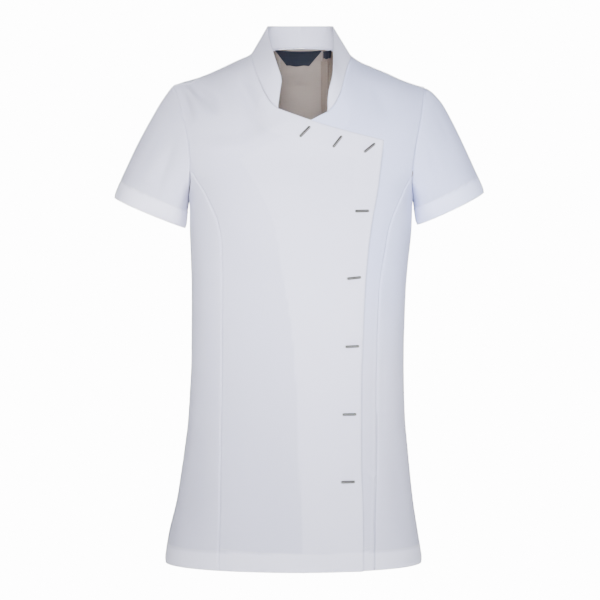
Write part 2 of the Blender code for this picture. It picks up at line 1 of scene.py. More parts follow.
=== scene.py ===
# %% [markdown]
# # A beautician tunic
# This lesson dresses a short-sleeved salon tunic. The real one is cut from white polyester and cotton
# cloth, closes off centre with metal bar buttons, and keeps the hollow shape that it has when worn. The
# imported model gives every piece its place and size. Here each plain panel becomes thin cloth with seams,
# hems, stitches, folds and a weave, and the buttons and labels get their real finish.

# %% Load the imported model
import math

import bmesh
import bpy
import numpy as np
from mathutils import Matrix, Vector, kdtree, noise


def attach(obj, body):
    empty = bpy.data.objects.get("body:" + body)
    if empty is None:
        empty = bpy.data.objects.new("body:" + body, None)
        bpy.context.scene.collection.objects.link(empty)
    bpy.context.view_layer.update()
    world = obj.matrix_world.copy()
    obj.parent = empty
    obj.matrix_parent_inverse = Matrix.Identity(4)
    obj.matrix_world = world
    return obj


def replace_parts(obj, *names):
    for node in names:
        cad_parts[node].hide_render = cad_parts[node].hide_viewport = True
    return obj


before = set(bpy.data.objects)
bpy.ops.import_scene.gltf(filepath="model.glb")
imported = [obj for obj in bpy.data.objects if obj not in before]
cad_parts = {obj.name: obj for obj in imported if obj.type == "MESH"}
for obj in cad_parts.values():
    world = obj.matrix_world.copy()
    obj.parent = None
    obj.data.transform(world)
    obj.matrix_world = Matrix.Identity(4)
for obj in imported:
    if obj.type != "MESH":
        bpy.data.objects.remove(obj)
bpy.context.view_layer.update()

# %% [markdown]
# ## Camera, light and room
# The camera comes first, so that every later render can be laid beside the photograph. It looks level along
# +Y from 2.7 m away, at the height of the waist. A wide soft light stands in front and the room is pale, as
# in a product photo. The floor lies where the wearer's feet would stand. What polished steel mirrors is
# darker above and below than at eye level, so that a bar shows dark edges with a paler line between them.

# %% Camera
WAIST_HEIGHT = -0.364
CAMERA_PLACE = (-0.0015, -2.7, WAIST_HEIGHT)


def add_object(name, data):
    """A new object in the scene."""
    made = bpy.data.objects.new(name, data)
    bpy.context.scene.collection.objects.link(made)
    return made


camera_data = bpy.data.cameras.new("camera")
camera_data.lens = 108
camera_data.sensor_width = 36
camera = add_object("camera", camera_data)
camera.location = CAMERA_PLACE
camera.rotation_euler = (math.pi / 2, 0, 0)
bpy.context.scene.camera = camera
print("camera at", CAMERA_PLACE)


# %% Lights
def soft_light(name, spot, size, power, colour=(1.0, 1.0, 1.0), spread=math.pi, aim=WAIST_HEIGHT):
    """A square light that faces the tunic at the height `aim`. A small spread is a grid on the softbox."""
    data = bpy.data.lights.new(name, "AREA")
    data.spread = spread
    data.size = size
    data.energy = power
    data.color = colour
    light = add_object(name, data)
    light.location = spot
    light.visible_glossy = False
    light.visible_camera = False
    light.rotation_euler = (Vector((0, 0, aim)) - Vector(spot)).to_track_quat("-Z", "Y").to_euler()
    print(name, "at", spot, "with", power, "W")


soft_light("front_light", (-0.15, -3.0, -0.30), 1.8, 112)
soft_light("chest_light", (0.0, -2.6, -0.20), 0.7, 4.2, spread=math.radians(28), aim=-0.19)
soft_light("left_fill", (-2.4, -1.4, -0.45), 1.6, 3)
soft_light("right_fill", (2.1, -1.9, -0.2), 1.2, 27, (0.86, 0.92, 1.0))
soft_light("back_light", (0.3, 2.6, -0.35), 2.0, 60)


# %% Shader nodes
def fill(tree, target, inputs):
    """Give each named input of a node its value, or link it to the output of another node."""
    for key, value in inputs.items():
        if isinstance(value, bpy.types.NodeSocket):
            tree.links.new(value, target.inputs[key])
        else:
            target.inputs[key].default_value = value


def node(tree, kind, output, inputs=None, **settings):
    """Add a node with its settings and inputs, and hand back one of its outputs."""
    made = tree.nodes.new("ShaderNode" + kind)
    for key, value in settings.items():
        setattr(made, key, value)
    fill(tree, made, inputs or {})
    return made.outputs[output]


def principled(name, colour, roughness, metallic=0.0):
    """A new material with its node tree and its shader."""
    material = bpy.data.materials.new(name)
    material.use_nodes = True
    material.diffuse_color = (*colour, 1.0)
    tree = material.node_tree
    shader = tree.nodes["Principled BSDF"]
    fill(tree, shader, {"Base Color": (*colour, 1.0), "Roughness": roughness, "Metallic": metallic})
    return material, tree, shader


print("helpers for shader nodes are ready")

# %% Room and floor
BACKDROP = 14.0
# What the steel mirrors: a share of the way from straight down to straight up, and the strength of the light.
MIRRORED = ((0.28, 0.30), (0.42, 0.50), (0.46, 1.60), (0.55, 1.60), (0.60, 0.26))
MIRRORED_BELOW = 0.24
MIRRORED_ABOVE = 0.20
LIT_BELOW = 1.6
LIT_ABOVE = 0.25
FLOOR_HEIGHT = -1.42

room = bpy.data.worlds.new("room")
room.use_nodes = True
room_tree = room.node_tree
upward = node(room_tree, "SeparateXYZ", "Z", {0: node(room_tree, "TexCoord", "Generated")})
on_cloth = node(room_tree, "MapRange", "Result", {"Value": upward, "From Min": -0.35, "From Max": 0.12,
                                                  "To Min": LIT_BELOW, "To Max": LIT_ABOVE})
from_below = node(room_tree, "Math", 0, {0: upward, 1: 0.5, 2: 0.5}, operation="MULTIPLY_ADD")
on_steel = node(room_tree, "FloatCurve", "Value", {"Value": from_below})
mapping = on_steel.node.mapping
mirrored_points = mapping.curves[0].points
for share, strength in MIRRORED:
    mirrored_points.new(share, strength)
mirrored_points[0].location.y = MIRRORED_BELOW
mirrored_points[-1].location.y = MIRRORED_ABOVE
mapping.update()
on_either = node(room_tree, "Mix", "Result", {"Factor": node(room_tree, "LightPath", "Is Glossy Ray"),
                                              "A": on_cloth, "B": on_steel}, data_type="FLOAT")
seen = node(room_tree, "Mix", "Result", {"Factor": node(room_tree, "LightPath", "Is Camera Ray"),
                                         "A": on_either, "B": BACKDROP}, data_type="FLOAT")
fill(room_tree, room_tree.nodes["Background"], {"Strength": seen, "Color": (1.0, 1.0, 1.0, 1.0)})
bpy.context.scene.world = room


def add_mesh(name, shape, *materials):
    """A new object with the form of a bmesh, which is used up."""
    mesh = bpy.data.meshes.new(name)
    shape.to_mesh(mesh)
    shape.free()
    for material in materials:
        mesh.materials.append(material)
    return add_object(name, mesh)


floor_shape = bmesh.new()
bmesh.ops.create_circle(floor_shape, cap_ends=True, segments=96, radius=2.6,
                        matrix=Matrix.Translation((0, 0, FLOOR_HEIGHT)))
floor = add_mesh("floor", floor_shape, principled("pale_floor", (0.90, 0.90, 0.90), 0.9)[0])
floor.visible_glossy = False
print("floor at", FLOOR_HEIGHT)

# %% [markdown]
# ## The form of the body
# A dressmaker drapes cloth over a form. The form here is a smooth surface read at two numbers: `around`,
# the turn about the body from the centre front, and `rise`, the height on the cloth, which past the chest
# runs on along the arch over the shoulder. Short tables with a row for each level give its shape. The same
# tables made the plain solids, so the cloth lies exactly where they are.

# %% Sizes and tables of the form
HEM = -0.7555
UNDERARM = -0.2075
CHEST = -0.150
SEAM_TURN = 0.86
FRONT_ARCH = 1.75
BACK_ARCH = 2.10
NECK_POINT = 0.0755
JUNCTION = -0.176
EDGE_FADE = 3
SIGN = {"right": -1, "left": 1}
# About how many metres one unit of `around` measures, for lines on the form and for the thread of the cloth.
LINE_RADIUS = 0.19
THREAD_TURN = 0.17


def pair(first, second):
    """Two arrays as the two columns of one."""
    return np.stack((first, second), axis=-1)


def table(names, *rows):
    """A short table whose columns are read by name. The first column is the key and rises."""
    return dict(zip(names.split(), np.array(rows, dtype=float).T))


# Outside of the body at each height: its sides, its depth in front and behind, and how square it is.
BODY = table(
    "height  right    left    front   back    square",
    (HEM,     -0.2045, 0.1822, 0.1195, 0.1190, 2.10),
    (-0.720,  -0.1995, 0.1765, 0.1175, 0.1170, 2.10),
    (-0.660,  -0.1855, 0.1675, 0.1140, 0.1120, 2.05),
    (-0.600,  -0.1765, 0.1610, 0.1095, 0.1060, 2.10),
    (-0.530,  -0.1680, 0.1555, 0.1030, 0.0965, 2.15),
    (-0.450,  -0.1642, 0.1540, 0.0985, 0.0870, 2.20),
    (-0.350,  -0.1637, 0.1567, 0.1040, 0.0865, 2.30),
    (-0.260,  -0.1665, 0.1650, 0.1190, 0.0975, 2.50),
    (UNDERARM, -0.1675, 0.1670, 0.1205, 0.1020, 2.60),
    (CHEST,   -0.2050, 0.2050, 0.1130, 0.1060, 2.20),
    (0.100,   -0.2050, 0.2050, 0.1130, 0.1060, 2.20),
)

# Height of the shoulder ridge at each distance from the middle.
RIDGE = table(
    "across  right    left",
    (0.000,  0.0480,  0.0480),
    (0.012,  0.0480,  0.0480),
    (0.040,  0.0340,  0.0340),
    (0.0765, 0.0040,  0.0010),
    (0.090, -0.0022, -0.0076),
    (0.105, -0.0092, -0.0139),
    (0.130, -0.0210, -0.0240),
    (0.150, -0.0290, -0.0331),
    (0.171, -0.0350, -0.0407),
    (0.190, -0.0415, -0.0470),
    (0.215, -0.0540, -0.0600),
)

# Free edges of the right front (overlap) and left front (underlap), and the princess seams.
FRONT = table(
    "height  overlap  underlap  right_seam  left_seam",
    (HEM,    0.0880,  0.0030, -0.1195, 0.1062),
    (-0.680, 0.0878,  0.0003, -0.1185, 0.1073),
    (-0.600, 0.0860, -0.0030, -0.1175, 0.1095),
    (-0.500, 0.0864, -0.0068, -0.1165, 0.1107),
    (-0.400, 0.0893, -0.0145, -0.1158, 0.1128),
    (-0.345, 0.0920, -0.0237, -0.1150, 0.1155),
    (-0.290, 0.0962, -0.0318, -0.1157, 0.1235),
    (-0.250, 0.1012, -0.0405, -0.1225, 0.1320),
    (-0.210, 0.1085, -0.0583, -0.1395, 0.1485),
    (-0.160, 0.1155, -0.0875, -0.1720, 0.1750),
    (-0.130, 0.1195, -0.1000, -0.1900, 0.1900),
)
print("rows in the tables:", len(BODY["height"]), len(RIDGE["across"]), len(FRONT["height"]))

# %% Tables of the neck, the armholes and the back
# Height of each free neck edge, from the far corner of its lap to the end of the collar.
RIGHT_NECK_EDGE = table(
    "across   height",
    (-0.0340, -0.0867),
    (0.0130,  -0.1054),
    (0.0636,  -0.1200),
    (0.1015,  -0.1290),
    (0.1190,  -0.1335),
)
LEFT_NECK_EDGE = table(
    "across   height",
    (-0.0875, -0.1615),
    (-0.0400, -0.1350),
    (0.0130,  -0.1054),
    (0.0390,  -0.0913),
)
NECK_FRONT = table(
    "along  right    right_height  left    left_height",
    (0.00,  -0.0340, -0.0867,      0.0390, -0.0913),
    (0.15,  -0.0420, -0.0800,      0.0495, -0.0795),
    (0.38,  -0.0523, -0.0640,      0.0585, -0.0600),
    (0.65,  -0.0630, -0.0400,      0.0645, -0.0375),
    (0.90,  -0.0715, -0.0135,      0.0715, -0.0125),
)
NECK_BACK = table(
    "across  height",
    (0.000,  0.0217),
    (0.018,  0.0212),
    (0.033,  0.0195),
    (0.050,  0.0155),
    (0.066,  0.0085),
)
ARMHOLE = table(
    "height    right   left",
    (UNDERARM, 0.1675, 0.1670),
    (-0.190,   0.1630, 0.1635),
    (-0.175,   0.1625, 0.1635),
    (-0.150,   0.1640, 0.1670),
    (-0.110,   0.1705, 0.1745),
    (-0.090,   0.1765, 0.1785),
    (-0.0625,  0.1840, 0.1830),
    (-0.0450,  0.1920, 0.1860),
)
BACK = table(
    "height  seam",
    (HEM,    0.1000),
    (-0.600, 0.0860),
    (-0.420, 0.0720),
    (-0.250, 0.0620),
    (-0.120, 0.0400),
    (-0.060, 0.0330),
    (0.060,  0.0330),
)
COLLAR_TOP = table(
    "along  right    left    depth    right_height  left_height",
    (0.00,  -0.0281, 0.0470, -0.0990, -0.0433, -0.0390),
    (0.25,  -0.0348, 0.0478, -0.0900, -0.0232, -0.0218),
    (0.50,  -0.0431, 0.0481, -0.0570,  0.0056,  0.0040),
    (0.75,  -0.0475, 0.0483, -0.0290,  0.0260,  0.0255),
    (1.00,  -0.0508, 0.0490, -0.0030,  0.0455,  0.0450),
    (1.50,  -0.0440, 0.0440, 0.0330,  0.0520,  0.0520),
    (2.00,   0.0000, 0.0000, 0.0505,  0.0545,  0.0545),
)
SLEEVES = {
    # outer and inner end of the mouth, and the way from its middle to its front
    "right": ((-0.2808, 0.0, -0.2097), (-0.1716, 0.0, -0.2560), (0.0, -0.053, -0.005)),
    "left": ((0.2758, 0.0, -0.2013), (0.1725, 0.0, -0.2510), (0.0, -0.053, -0.006)),
}
CROWN = table(
    "along  right   left",
    (0.00,  0.0000, 0.0000),
    (0.08,  0.0025, 0.0065),
    (0.22,  0.0048, 0.0105),
    (0.50,  0.0060, 0.0085),
    (0.80,  0.0038, 0.0035),
    (1.00,  0.0000, 0.0000),
)
print("rows round the neck:", len(NECK_FRONT["along"]) + len(NECK_BACK["across"]))


# %% Reading a table on a smooth curve
def read(sheet, name, at):
    """Column `name` at the keys `at`, on a smooth curve through the rows that never overshoots them."""
    keys = next(iter(sheet.values()))
    values = sheet[name]
    steps = np.diff(keys)
    slopes = np.diff(values) / steps
    tangents = np.concatenate((slopes[:1], np.zeros(len(slopes) - 1), slopes[-1:]))
    same_way = slopes[:-1] * slopes[1:] > 0
    pairs = np.where(same_way, slopes[:-1] + slopes[1:], 1.0)
    tangents[1:-1] = np.where(same_way, 2 * slopes[:-1] * slopes[1:] / pairs, 0.0)
    at = np.clip(np.asarray(at, dtype=float), keys[0], keys[-1])
    row = np.clip(np.searchsorted(keys, at, side="right") - 1, 0, len(steps) - 1)
    step = steps[row]
    u = (at - keys[row]) / step
    start = values[row] * (1 + 2 * u) * (1 - u) ** 2 + tangents[row] * step * u * (1 - u) ** 2
    end = values[row + 1] * u * u * (3 - 2 * u) + tangents[row + 1] * step * u * u * (u - 1)
    return start + end


def ease(value):
    """A smooth step from 0 to 1."""
    value = np.clip(value, 0.0, 1.0)
    return value * value * (3 - 2 * value)


def bump(offset, width):
    """A soft hill that is 1 in the middle and fades at about `width` from it."""
    return np.exp(-((offset / width) ** 2))


print("waist is", round(float(read(BODY, "left", -0.45) - read(BODY, "right", -0.45)), 4), "m wide")


# %% The surface of the form
def reach(across):
    """Height of the arch over the shoulder at a distance from the middle."""
    distance = np.abs(across)
    return np.where(across < 0, read(RIDGE, "right", distance), read(RIDGE, "left", distance)) - CHEST


def middle_and_half(height):
    """Middle of the body at a height, and half its width."""
    right = read(BODY, "right", height)
    left = read(BODY, "left", height)
    return (left + right) / 2, (left - right) / 2


def surface(places):
    """Points of the bare form at (around, rise) places."""
    around, rise = places[..., 0], places[..., 1]
    low = np.minimum(rise, CHEST)
    middle, half = middle_and_half(low)
    square = read(BODY, "square", low)
    side = np.sin(around)
    across = middle + half * side
    lobe = np.clip(1 - np.abs(side) ** square, 0.0, 1.0) ** (1 / square)
    arch = reach(across)
    turn = np.maximum(rise - CHEST, 0.0) / arch
    height = np.where(rise > CHEST, CHEST + arch * np.sin(turn), rise)
    climb = np.clip(np.abs(np.sin(turn)), 0.0, 1.0)
    front = read(BODY, "front", low) * lobe * (1 - climb ** FRONT_ARCH) ** (1 / FRONT_ARCH)
    back = read(BODY, "back", low) * lobe * (1 - climb ** BACK_ARCH) ** (1 / BACK_ARCH)
    faces_front = np.cos(around) * np.cos(turn) > 0
    return np.stack((across, np.where(faces_front, -front, back), height), axis=-1)


def outward(places):
    """Outward directions of the form."""
    small = 1e-3
    along = surface(places + (small, 0.0)) - surface(places - (small, 0.0))
    up = surface(places + (0.0, small)) - surface(places - (0.0, small))
    out = np.cross(along, up)
    return out / np.linalg.norm(out, axis=-1, keepdims=True)


print("centre front at the hem:", np.round(surface(np.array((0.0, HEM))), 3))

# %% [markdown]
# ## Seams as lines on the form
# Every seam and free edge is a line of (around, rise) places. The panels between them are grids with many
# fine rows and columns, so that a seam can roll in, and a hem can show its stitched line. The number of
# rows and columns is a multiple of the plain model's, which keeps both on the same lines.

# %% How fine the grids are
FINER_ROWS = 8
FINER_COLS = 5
ROWS_BODY = 18 * FINER_ROWS
ROWS_ARM_FRONT = 9 * FINER_ROWS
ROWS_ARM_BACK = 12 * FINER_ROWS
COLS_SIDE = 5 * FINER_COLS
COLS_SHOULDER = 6 * FINER_COLS
COLS_NECK_FRONT = 6 * FINER_COLS
COLS_NECK_BACK = 3 * FINER_COLS
COLS_BACK = 6 * FINER_COLS
COLS_LAP = 6 * FINER_COLS
HEM_SHARES = {"right": (0.25, 0.45), "left": (0.30, 0.60)}
print("a front has", ROWS_BODY + ROWS_ARM_FRONT, "rows and",
      COLS_SHOULDER + COLS_NECK_FRONT + COLS_LAP, "columns")


# %% Places on the form
def around_at(across, height, behind=False):
    """Turn about the body of a point that is known by its distance from the middle."""
    middle, half = middle_and_half(np.minimum(height, CHEST))
    turn = np.arcsin(np.clip((across - middle) / half, -1.0, 1.0))
    return math.pi - turn if behind else turn


def rise_at(across, height):
    """Rise of a point that is known by its height."""
    arch = reach(across)
    turn = np.arcsin(np.clip((height - CHEST) / arch, 0.0, 1.0))
    return np.where(height > CHEST, CHEST + arch * turn, height)


def height_at(across, rise):
    """The way back from rise_at."""
    arch = reach(across)
    return np.where(rise > CHEST, CHEST + arch * np.sin(np.maximum(rise - CHEST, 0.0) / arch), rise)


def place(across, height, behind=False):
    """Places of points that are known by their distance from the middle and their height."""
    across, height = np.broadcast_arrays(np.asarray(across, float), np.asarray(height, float))
    return pair(around_at(across, height, behind), rise_at(across, height))


def on_shoulder_seam(across, behind=False):
    """The shoulder seam lies just in front of the ridge, so the back panel wraps over it."""
    across = np.asarray(across, dtype=float)
    turn = (2 - SEAM_TURN if behind else SEAM_TURN) * math.pi / 2
    around = around_at(across, np.full_like(across, CHEST), behind)
    return pair(around, CHEST + reach(across) * turn)


def shoulder_tip(side):
    """Distance from the middle where the shoulder seam ends at the armhole."""
    across = SIGN[side] * 0.19
    for _ in range(20):
        height = CHEST + reach(across) * math.sin(SEAM_TURN * math.pi / 2)
        across = SIGN[side] * float(read(ARMHOLE, side, height))
    return across


print("shoulder seams end at", round(shoulder_tip("right"), 4), round(shoulder_tip("left"), 4))


# %% Armhole, neck and shoulder lines
def armhole_at(side, rises, behind):
    """Places on the armhole seam at the given rises."""
    across = np.full_like(rises, SIGN[side] * 0.18)
    for _ in range(12):
        across = SIGN[side] * read(ARMHOLE, side, height_at(across, rises))
    return pair(around_at(across, np.minimum(rises, CHEST), behind), rises)


def armhole_front(side):
    """Armhole seam from the princess seam up to the shoulder seam."""
    top = CHEST + reach(shoulder_tip(side)) * SEAM_TURN * math.pi / 2
    return armhole_at(side, np.linspace(JUNCTION, top, ROWS_ARM_FRONT + 1), behind=False)


def armhole_back(side):
    """Armhole seam from the side seam up and over the ridge to the shoulder seam."""
    top = CHEST + reach(shoulder_tip(side)) * (2 - SEAM_TURN) * math.pi / 2
    share = np.linspace(0, 1, ROWS_ARM_BACK + 1)
    return armhole_at(side, UNDERARM + (top - UNDERARM) * (0.2 * share + 0.8 * share**2), behind=True)


def armhole_under(side):
    """Armhole seam from the princess seam down to the side seam."""
    share = np.linspace(1, 0, COLS_SIDE + 1)
    return armhole_at(side, UNDERARM + (JUNCTION - UNDERARM) * share**2, behind=False)


def run_of(line):
    """How far along a line each of its points lies."""
    return np.concatenate(((0.0,), np.cumsum(np.linalg.norm(np.diff(line, axis=0), axis=1))))


def smooth_line(points, count):
    """Evenly spaced places on a smooth line through a few places."""
    run = run_of(points * (LINE_RADIUS, 1.0))
    line = {"along": run / run[-1], "around": points[:, 0], "rise": points[:, 1]}
    wanted = np.linspace(0, 1, count + 1)
    return pair(read(line, "around", wanted), read(line, "rise", wanted))


def neck_front(side):
    """Neck seam from the end of the collar to the shoulder seam."""
    rows = place(NECK_FRONT[side], NECK_FRONT[side + "_height"])
    shoulder = on_shoulder_seam([SIGN[side] * NECK_POINT])
    return smooth_line(np.concatenate((rows, shoulder)), COLS_NECK_FRONT)


def neck_back(side):
    """Neck seam from the shoulder seam over the ridge to the back seam."""
    shoulder = on_shoulder_seam([SIGN[side] * NECK_POINT], behind=True)
    rows = place(SIGN[side] * NECK_BACK["across"][:1:-1], NECK_BACK["height"][:1:-1], behind=True)
    return smooth_line(np.concatenate((shoulder, rows)), COLS_NECK_BACK)


def neck_nape():
    """Neck seam across the back centre panel, from the left back seam to the right one."""
    seam = BACK["seam"][-1]
    across = np.linspace(seam, -seam, COLS_BACK + 1)
    return place(across, read(NECK_BACK, "height", np.abs(across)), behind=True)


def shoulder_line(side, behind=False):
    """Shoulder seam from the armhole to the neck."""
    ends = (shoulder_tip(side), SIGN[side] * NECK_POINT)
    return on_shoulder_seam(np.linspace(*ends, COLS_SHOULDER + 1), behind)


right_armhole = (armhole_front("right"), armhole_under("right"), armhole_back("right"))
armhole_length = sum(float(run_of(surface(line))[-1]) for line in right_armhole)
print("the right armhole measures", round(armhole_length, 3), "m round")


# %% Panels between their lines
def patch(first, last, top, shares=None):
    """Grid of places: rows run up from the hem, columns run from the first edge to the last at the given
    shares of the width. It is even in the middle, and takes on the shape of each edge as it nears it."""
    shares = np.linspace(0, 1, len(top)) if shares is None else shares
    t = np.linspace(0, 1, len(first))[:, None, None]
    s = shares[None, :, None]
    plain = (1 - t) * ((1 - s) * first[0] + s * last[0]) + t * ((1 - s) * first[-1] + s * last[-1])
    first_bend = (1 - s) ** EDGE_FADE * (first[:, None] - plain[:, :1])
    last_bend = s**EDGE_FADE * (last[:, None] - plain[:, -1:])
    return plain + first_bend + last_bend + t**EDGE_FADE * (top[None] - plain[-1:])


def inset(grid, first=0.0, last=0.0, top=0.0):
    """Draw the edges of a grid inwards by real distances, so that sewn panels keep their gap."""
    scale = np.array((LINE_RADIUS, 1.0))
    flat = grid * scale
    moved = flat.copy()
    turn = 1 if flat[0, -1, 0] > flat[0, 0, 0] else -1
    for amount, where in ((first, np.s_[:, 0]), (last, np.s_[::-1, -1]), (top, np.s_[-1, :])):
        run = np.diff(flat[where], axis=0)
        run = run / np.linalg.norm(run, axis=1, keepdims=True)
        side = pair(run[:, 1], -run[:, 0]) * turn
        before = np.concatenate((side[:1], side))
        after = np.concatenate((side, side[-1:]))
        corner = 1 + np.sum(before * after, axis=1, keepdims=True)
        moved[where] += amount * (before + after) / corner
    return moved / scale


def princess_line(side):
    """Princess seam from the hem to the armhole."""
    heights = np.linspace(HEM, JUNCTION, ROWS_BODY + 1)
    line = place(read(FRONT, side + "_seam", heights), heights)
    line[-1] = armhole_front(side)[0]
    return line


def side_line(side, behind):
    """Side seam from the hem to the underarm, as the edge of a front or a back panel."""
    heights = np.linspace(HEM, UNDERARM, ROWS_BODY + 1)
    turn = math.pi - SIGN[side] * math.pi / 2 if behind else SIGN[side] * math.pi / 2
    return pair(np.full_like(heights, turn), heights)


def to_width(places):
    """Places on the front with the distance from the middle instead of the turn about the body."""
    middle, half = middle_and_half(np.minimum(places[..., 1], CHEST))
    return np.stack((middle + half * np.sin(places[..., 0]), places[..., 1]), axis=-1)


def to_turn(places):
    """The way back from to_width."""
    return pair(around_at(places[..., 0], places[..., 1]), places[..., 1])


def front_centre_grid(side):
    """The front from its princess seam to its free edge, below the shoulder, neck seam and neck edge."""
    lap, edge, end = ("overlap", RIGHT_NECK_EDGE, -1) if side == "right" else ("underlap", LEFT_NECK_EDGE, 0)
    outer = np.concatenate((princess_line(side), armhole_front(side)[1:]))
    corner = edge["across"][end]
    across = np.linspace(NECK_FRONT[side][0], corner, COLS_LAP + 1)
    neck_edge = place(across, read(edge, "height", across))
    top = np.concatenate((shoulder_line(side), neck_front(side)[-2::-1], neck_edge[1:]))
    heights = np.linspace(HEM, read(edge, "height", corner), len(outer))
    free = place(read(FRONT, lap, heights), heights)
    free[-1] = top[-1]
    ends = (0, COLS_SHOULDER, COLS_SHOULDER + COLS_NECK_FRONT, len(top) - 1)
    shares = np.interp(np.arange(len(top)), ends, (0.0, *HEM_SHARES[side], 1.0))
    return to_turn(patch(to_width(outer), to_width(free), to_width(top), shares))


def front_side_grid(side):
    """The front from its princess seam to its side seam."""
    return patch(princess_line(side), side_line(side, behind=False), armhole_under(side))


def back_seam_line(side):
    """Back seam from the hem over the ridge to the neck."""
    across = BACK["seam"][-1]
    top = rise_at(across, read(NECK_BACK, "height", across))
    share = np.linspace(0, 1, ROWS_ARM_BACK + 1)[1:]
    upper = UNDERARM + (top - UNDERARM) * (0.4 * share + 0.6 * ease(share))
    rises = np.concatenate((np.linspace(HEM, UNDERARM, ROWS_BODY + 1), upper))
    heights = height_at(across, rises)
    seam = middle_and_half(rises)[0] + SIGN[side] * read(BACK, "seam", heights)
    return pair(around_at(seam, np.minimum(heights, CHEST), behind=True), rises)


def back_side_grid(side):
    """The back from its side seam and armhole to its back seam."""
    outer = np.concatenate((side_line(side, behind=True), armhole_back(side)[1:]))
    top = np.concatenate((shoulder_line(side, behind=True), neck_back(side)[1:]))
    return patch(outer, back_seam_line(side), top)


def back_centre_grid():
    """The back between its two seams."""
    return patch(back_seam_line("left"), back_seam_line("right"), neck_nape())


print("the right front grid holds", front_centre_grid("right").shape[:2], "places")

# %% [markdown]
# ## Materials
# The cloth is a plain white twill with a soft hand: rough, a little sheen, and a fine diagonal weave that
# shows only from close by. Where it lies double, as at hems and on the underlap, less of the dark inside
# shows through, so it is a little lighter. Each cloth mesh carries that as an attribute called `doubled`,
# and a UV map called `thread` that is measured in metres along and across the cloth, which the weave
# follows round the body. Three more attributes paint light and shade into the colour: a cool light on the
# left front and sleeve, shade inside the left back by the neck, and a thin shadow beside the edge of the
# overlap and of the pocket mouth. The inside of the cloth is a darker, warmer copy, which paints the shade
# in the hollow.

# %% Cloth material
def woven(name, thin, thick, pitch, depth, sheen, casts=()):
    """Cloth with a diagonal weave of the given pitch, `thin` where single and `thick` where doubled. Each
    cast is a colour that is multiplied in between two values of the attribute it names."""
    material, tree, shader = principled(name, thin, 0.88)
    cloud = node(tree, "TexNoise", "Fac",
                 {"Vector": node(tree, "TexCoord", "Object"), "Scale": 9.0, "Detail": 4.0})
    doubled = node(tree, "Attribute", "Fac", attribute_name="doubled")
    shift = node(tree, "Math", 0, {0: doubled, 1: 0.08}, operation="SUBTRACT")
    share = node(tree, "Math", 0, {0: cloud, 1: 0.16, 2: shift}, operation="MULTIPLY_ADD", use_clamp=True)
    colour = node(tree, "Mix", "Result", {"Factor": share, "A": (*thin, 1.0), "B": (*thick, 1.0)},
                  data_type="RGBA")
    for attribute, low, high, cast in casts:
        amount = node(tree, "Attribute", "Fac", attribute_name=attribute)
        between = node(tree, "MapRange", "Result", {"Value": amount, "From Min": low, "From Max": high})
        colour = node(tree, "Mix", "Result", {"Factor": between, "A": colour, "B": (*cast, 1.0)},
                      data_type="RGBA", blend_type="MULTIPLY")

    thread = node(tree, "UVMap", "UV", uv_map="thread")
    ribs = node(tree, "TexWave", "Fac",
                {"Vector": thread, "Scale": 0.31 / pitch, "Distortion": 0.6, "Detail": 1.0},
                wave_type="BANDS", bands_direction="DIAGONAL")
    slubs = node(tree, "TexNoise", "Fac", {"Vector": thread, "Scale": 900.0})
    both = node(tree, "Math", 0, {0: ribs, 1: slubs}, operation="MULTIPLY")
    weave = node(tree, "Bump", "Normal", {"Height": both, "Strength": depth, "Distance": 0.00012})
    fill(tree, shader, {"Base Color": colour, "Normal": weave,
                        "Sheen Weight": sheen, "Sheen Roughness": 0.45})
    return material


# The two casts of the white twill paint light and shade into its colour: a cool light on the left front and
# sleeve, and a thin shadow beside the edge of the overlap and of the pocket mouth.
white_twill = woven("white_twill_cloth", (0.580, 0.587, 0.755), (0.775, 0.775, 0.950), 0.0007, 0.55, 0.12,
                    casts=(("painted_cool_light", 0.0, 1.0, (0.885, 0.945, 1.09)),
                           ("pressed", 0.80, 0.96, (0.60, 0.60, 0.65))))
navy_tape = woven("navy_woven_tape", (0.007, 0.008, 0.015), (0.010, 0.012, 0.021), 0.0005, 0.8, 0.05)
# The reverse is a dark, warm copy of the white twill: painted shade for the inside of the hollow tunic, and a
# painted dark line on the rims. Its cast paints more shade inside the left back by the neck.
twill_reverse_painted_shade = woven("white_twill_reverse", (0.200, 0.169, 0.156), (0.222, 0.190, 0.177), 0.0007, 0.5, 0.06,
                      casts=(("painted_neck_shade", 0.0, 1.0, (0.82, 0.77, 0.74)),))
print("cloth materials:", white_twill.name, twill_reverse_painted_shade.name, navy_tape.name)

# %% [markdown]
# Sewing thread is smoother than the cloth. The buttons are polished steel, with the very fine brushed lines
# and the slightly cloudy gloss of a button that has been washed many times.

# %% Thread and steel
def twisted(name, colour):
    """Sewing thread, with a fine bump for its twist."""
    material, tree, shader = principled(name, colour, 0.6)
    twist = node(tree, "TexNoise", "Fac", {"Vector": node(tree, "TexCoord", "Object"), "Scale": 3000.0})
    fibres = node(tree, "Bump", "Normal", {"Height": twist, "Strength": 0.4, "Distance": 0.0001})
    fill(tree, shader, {"Normal": fibres})
    return material


white_thread = twisted("white_thread", (0.80, 0.81, 0.83))
# The overlock thread gets the dark, warm colour of the shaded inside: painted shade.
overlock_thread_painted_shade = twisted("overlock_thread_painted_shade", (0.230, 0.200, 0.187))

steel, steel_tree, steel_shader = principled("polished_steel", (0.63, 0.625, 0.62), 0.18, 1.0)
wear = node(steel_tree, "TexNoise", "Fac",
            {"Vector": node(steel_tree, "TexCoord", "Object"), "Scale": 420.0, "Detail": 5.0})
gloss = node(steel_tree, "MapRange", "Result", {"Value": wear, "To Min": 0.06, "To Max": 0.16})
fill(steel_tree, steel_shader, {"Roughness": gloss})
print("thread and steel are ready")
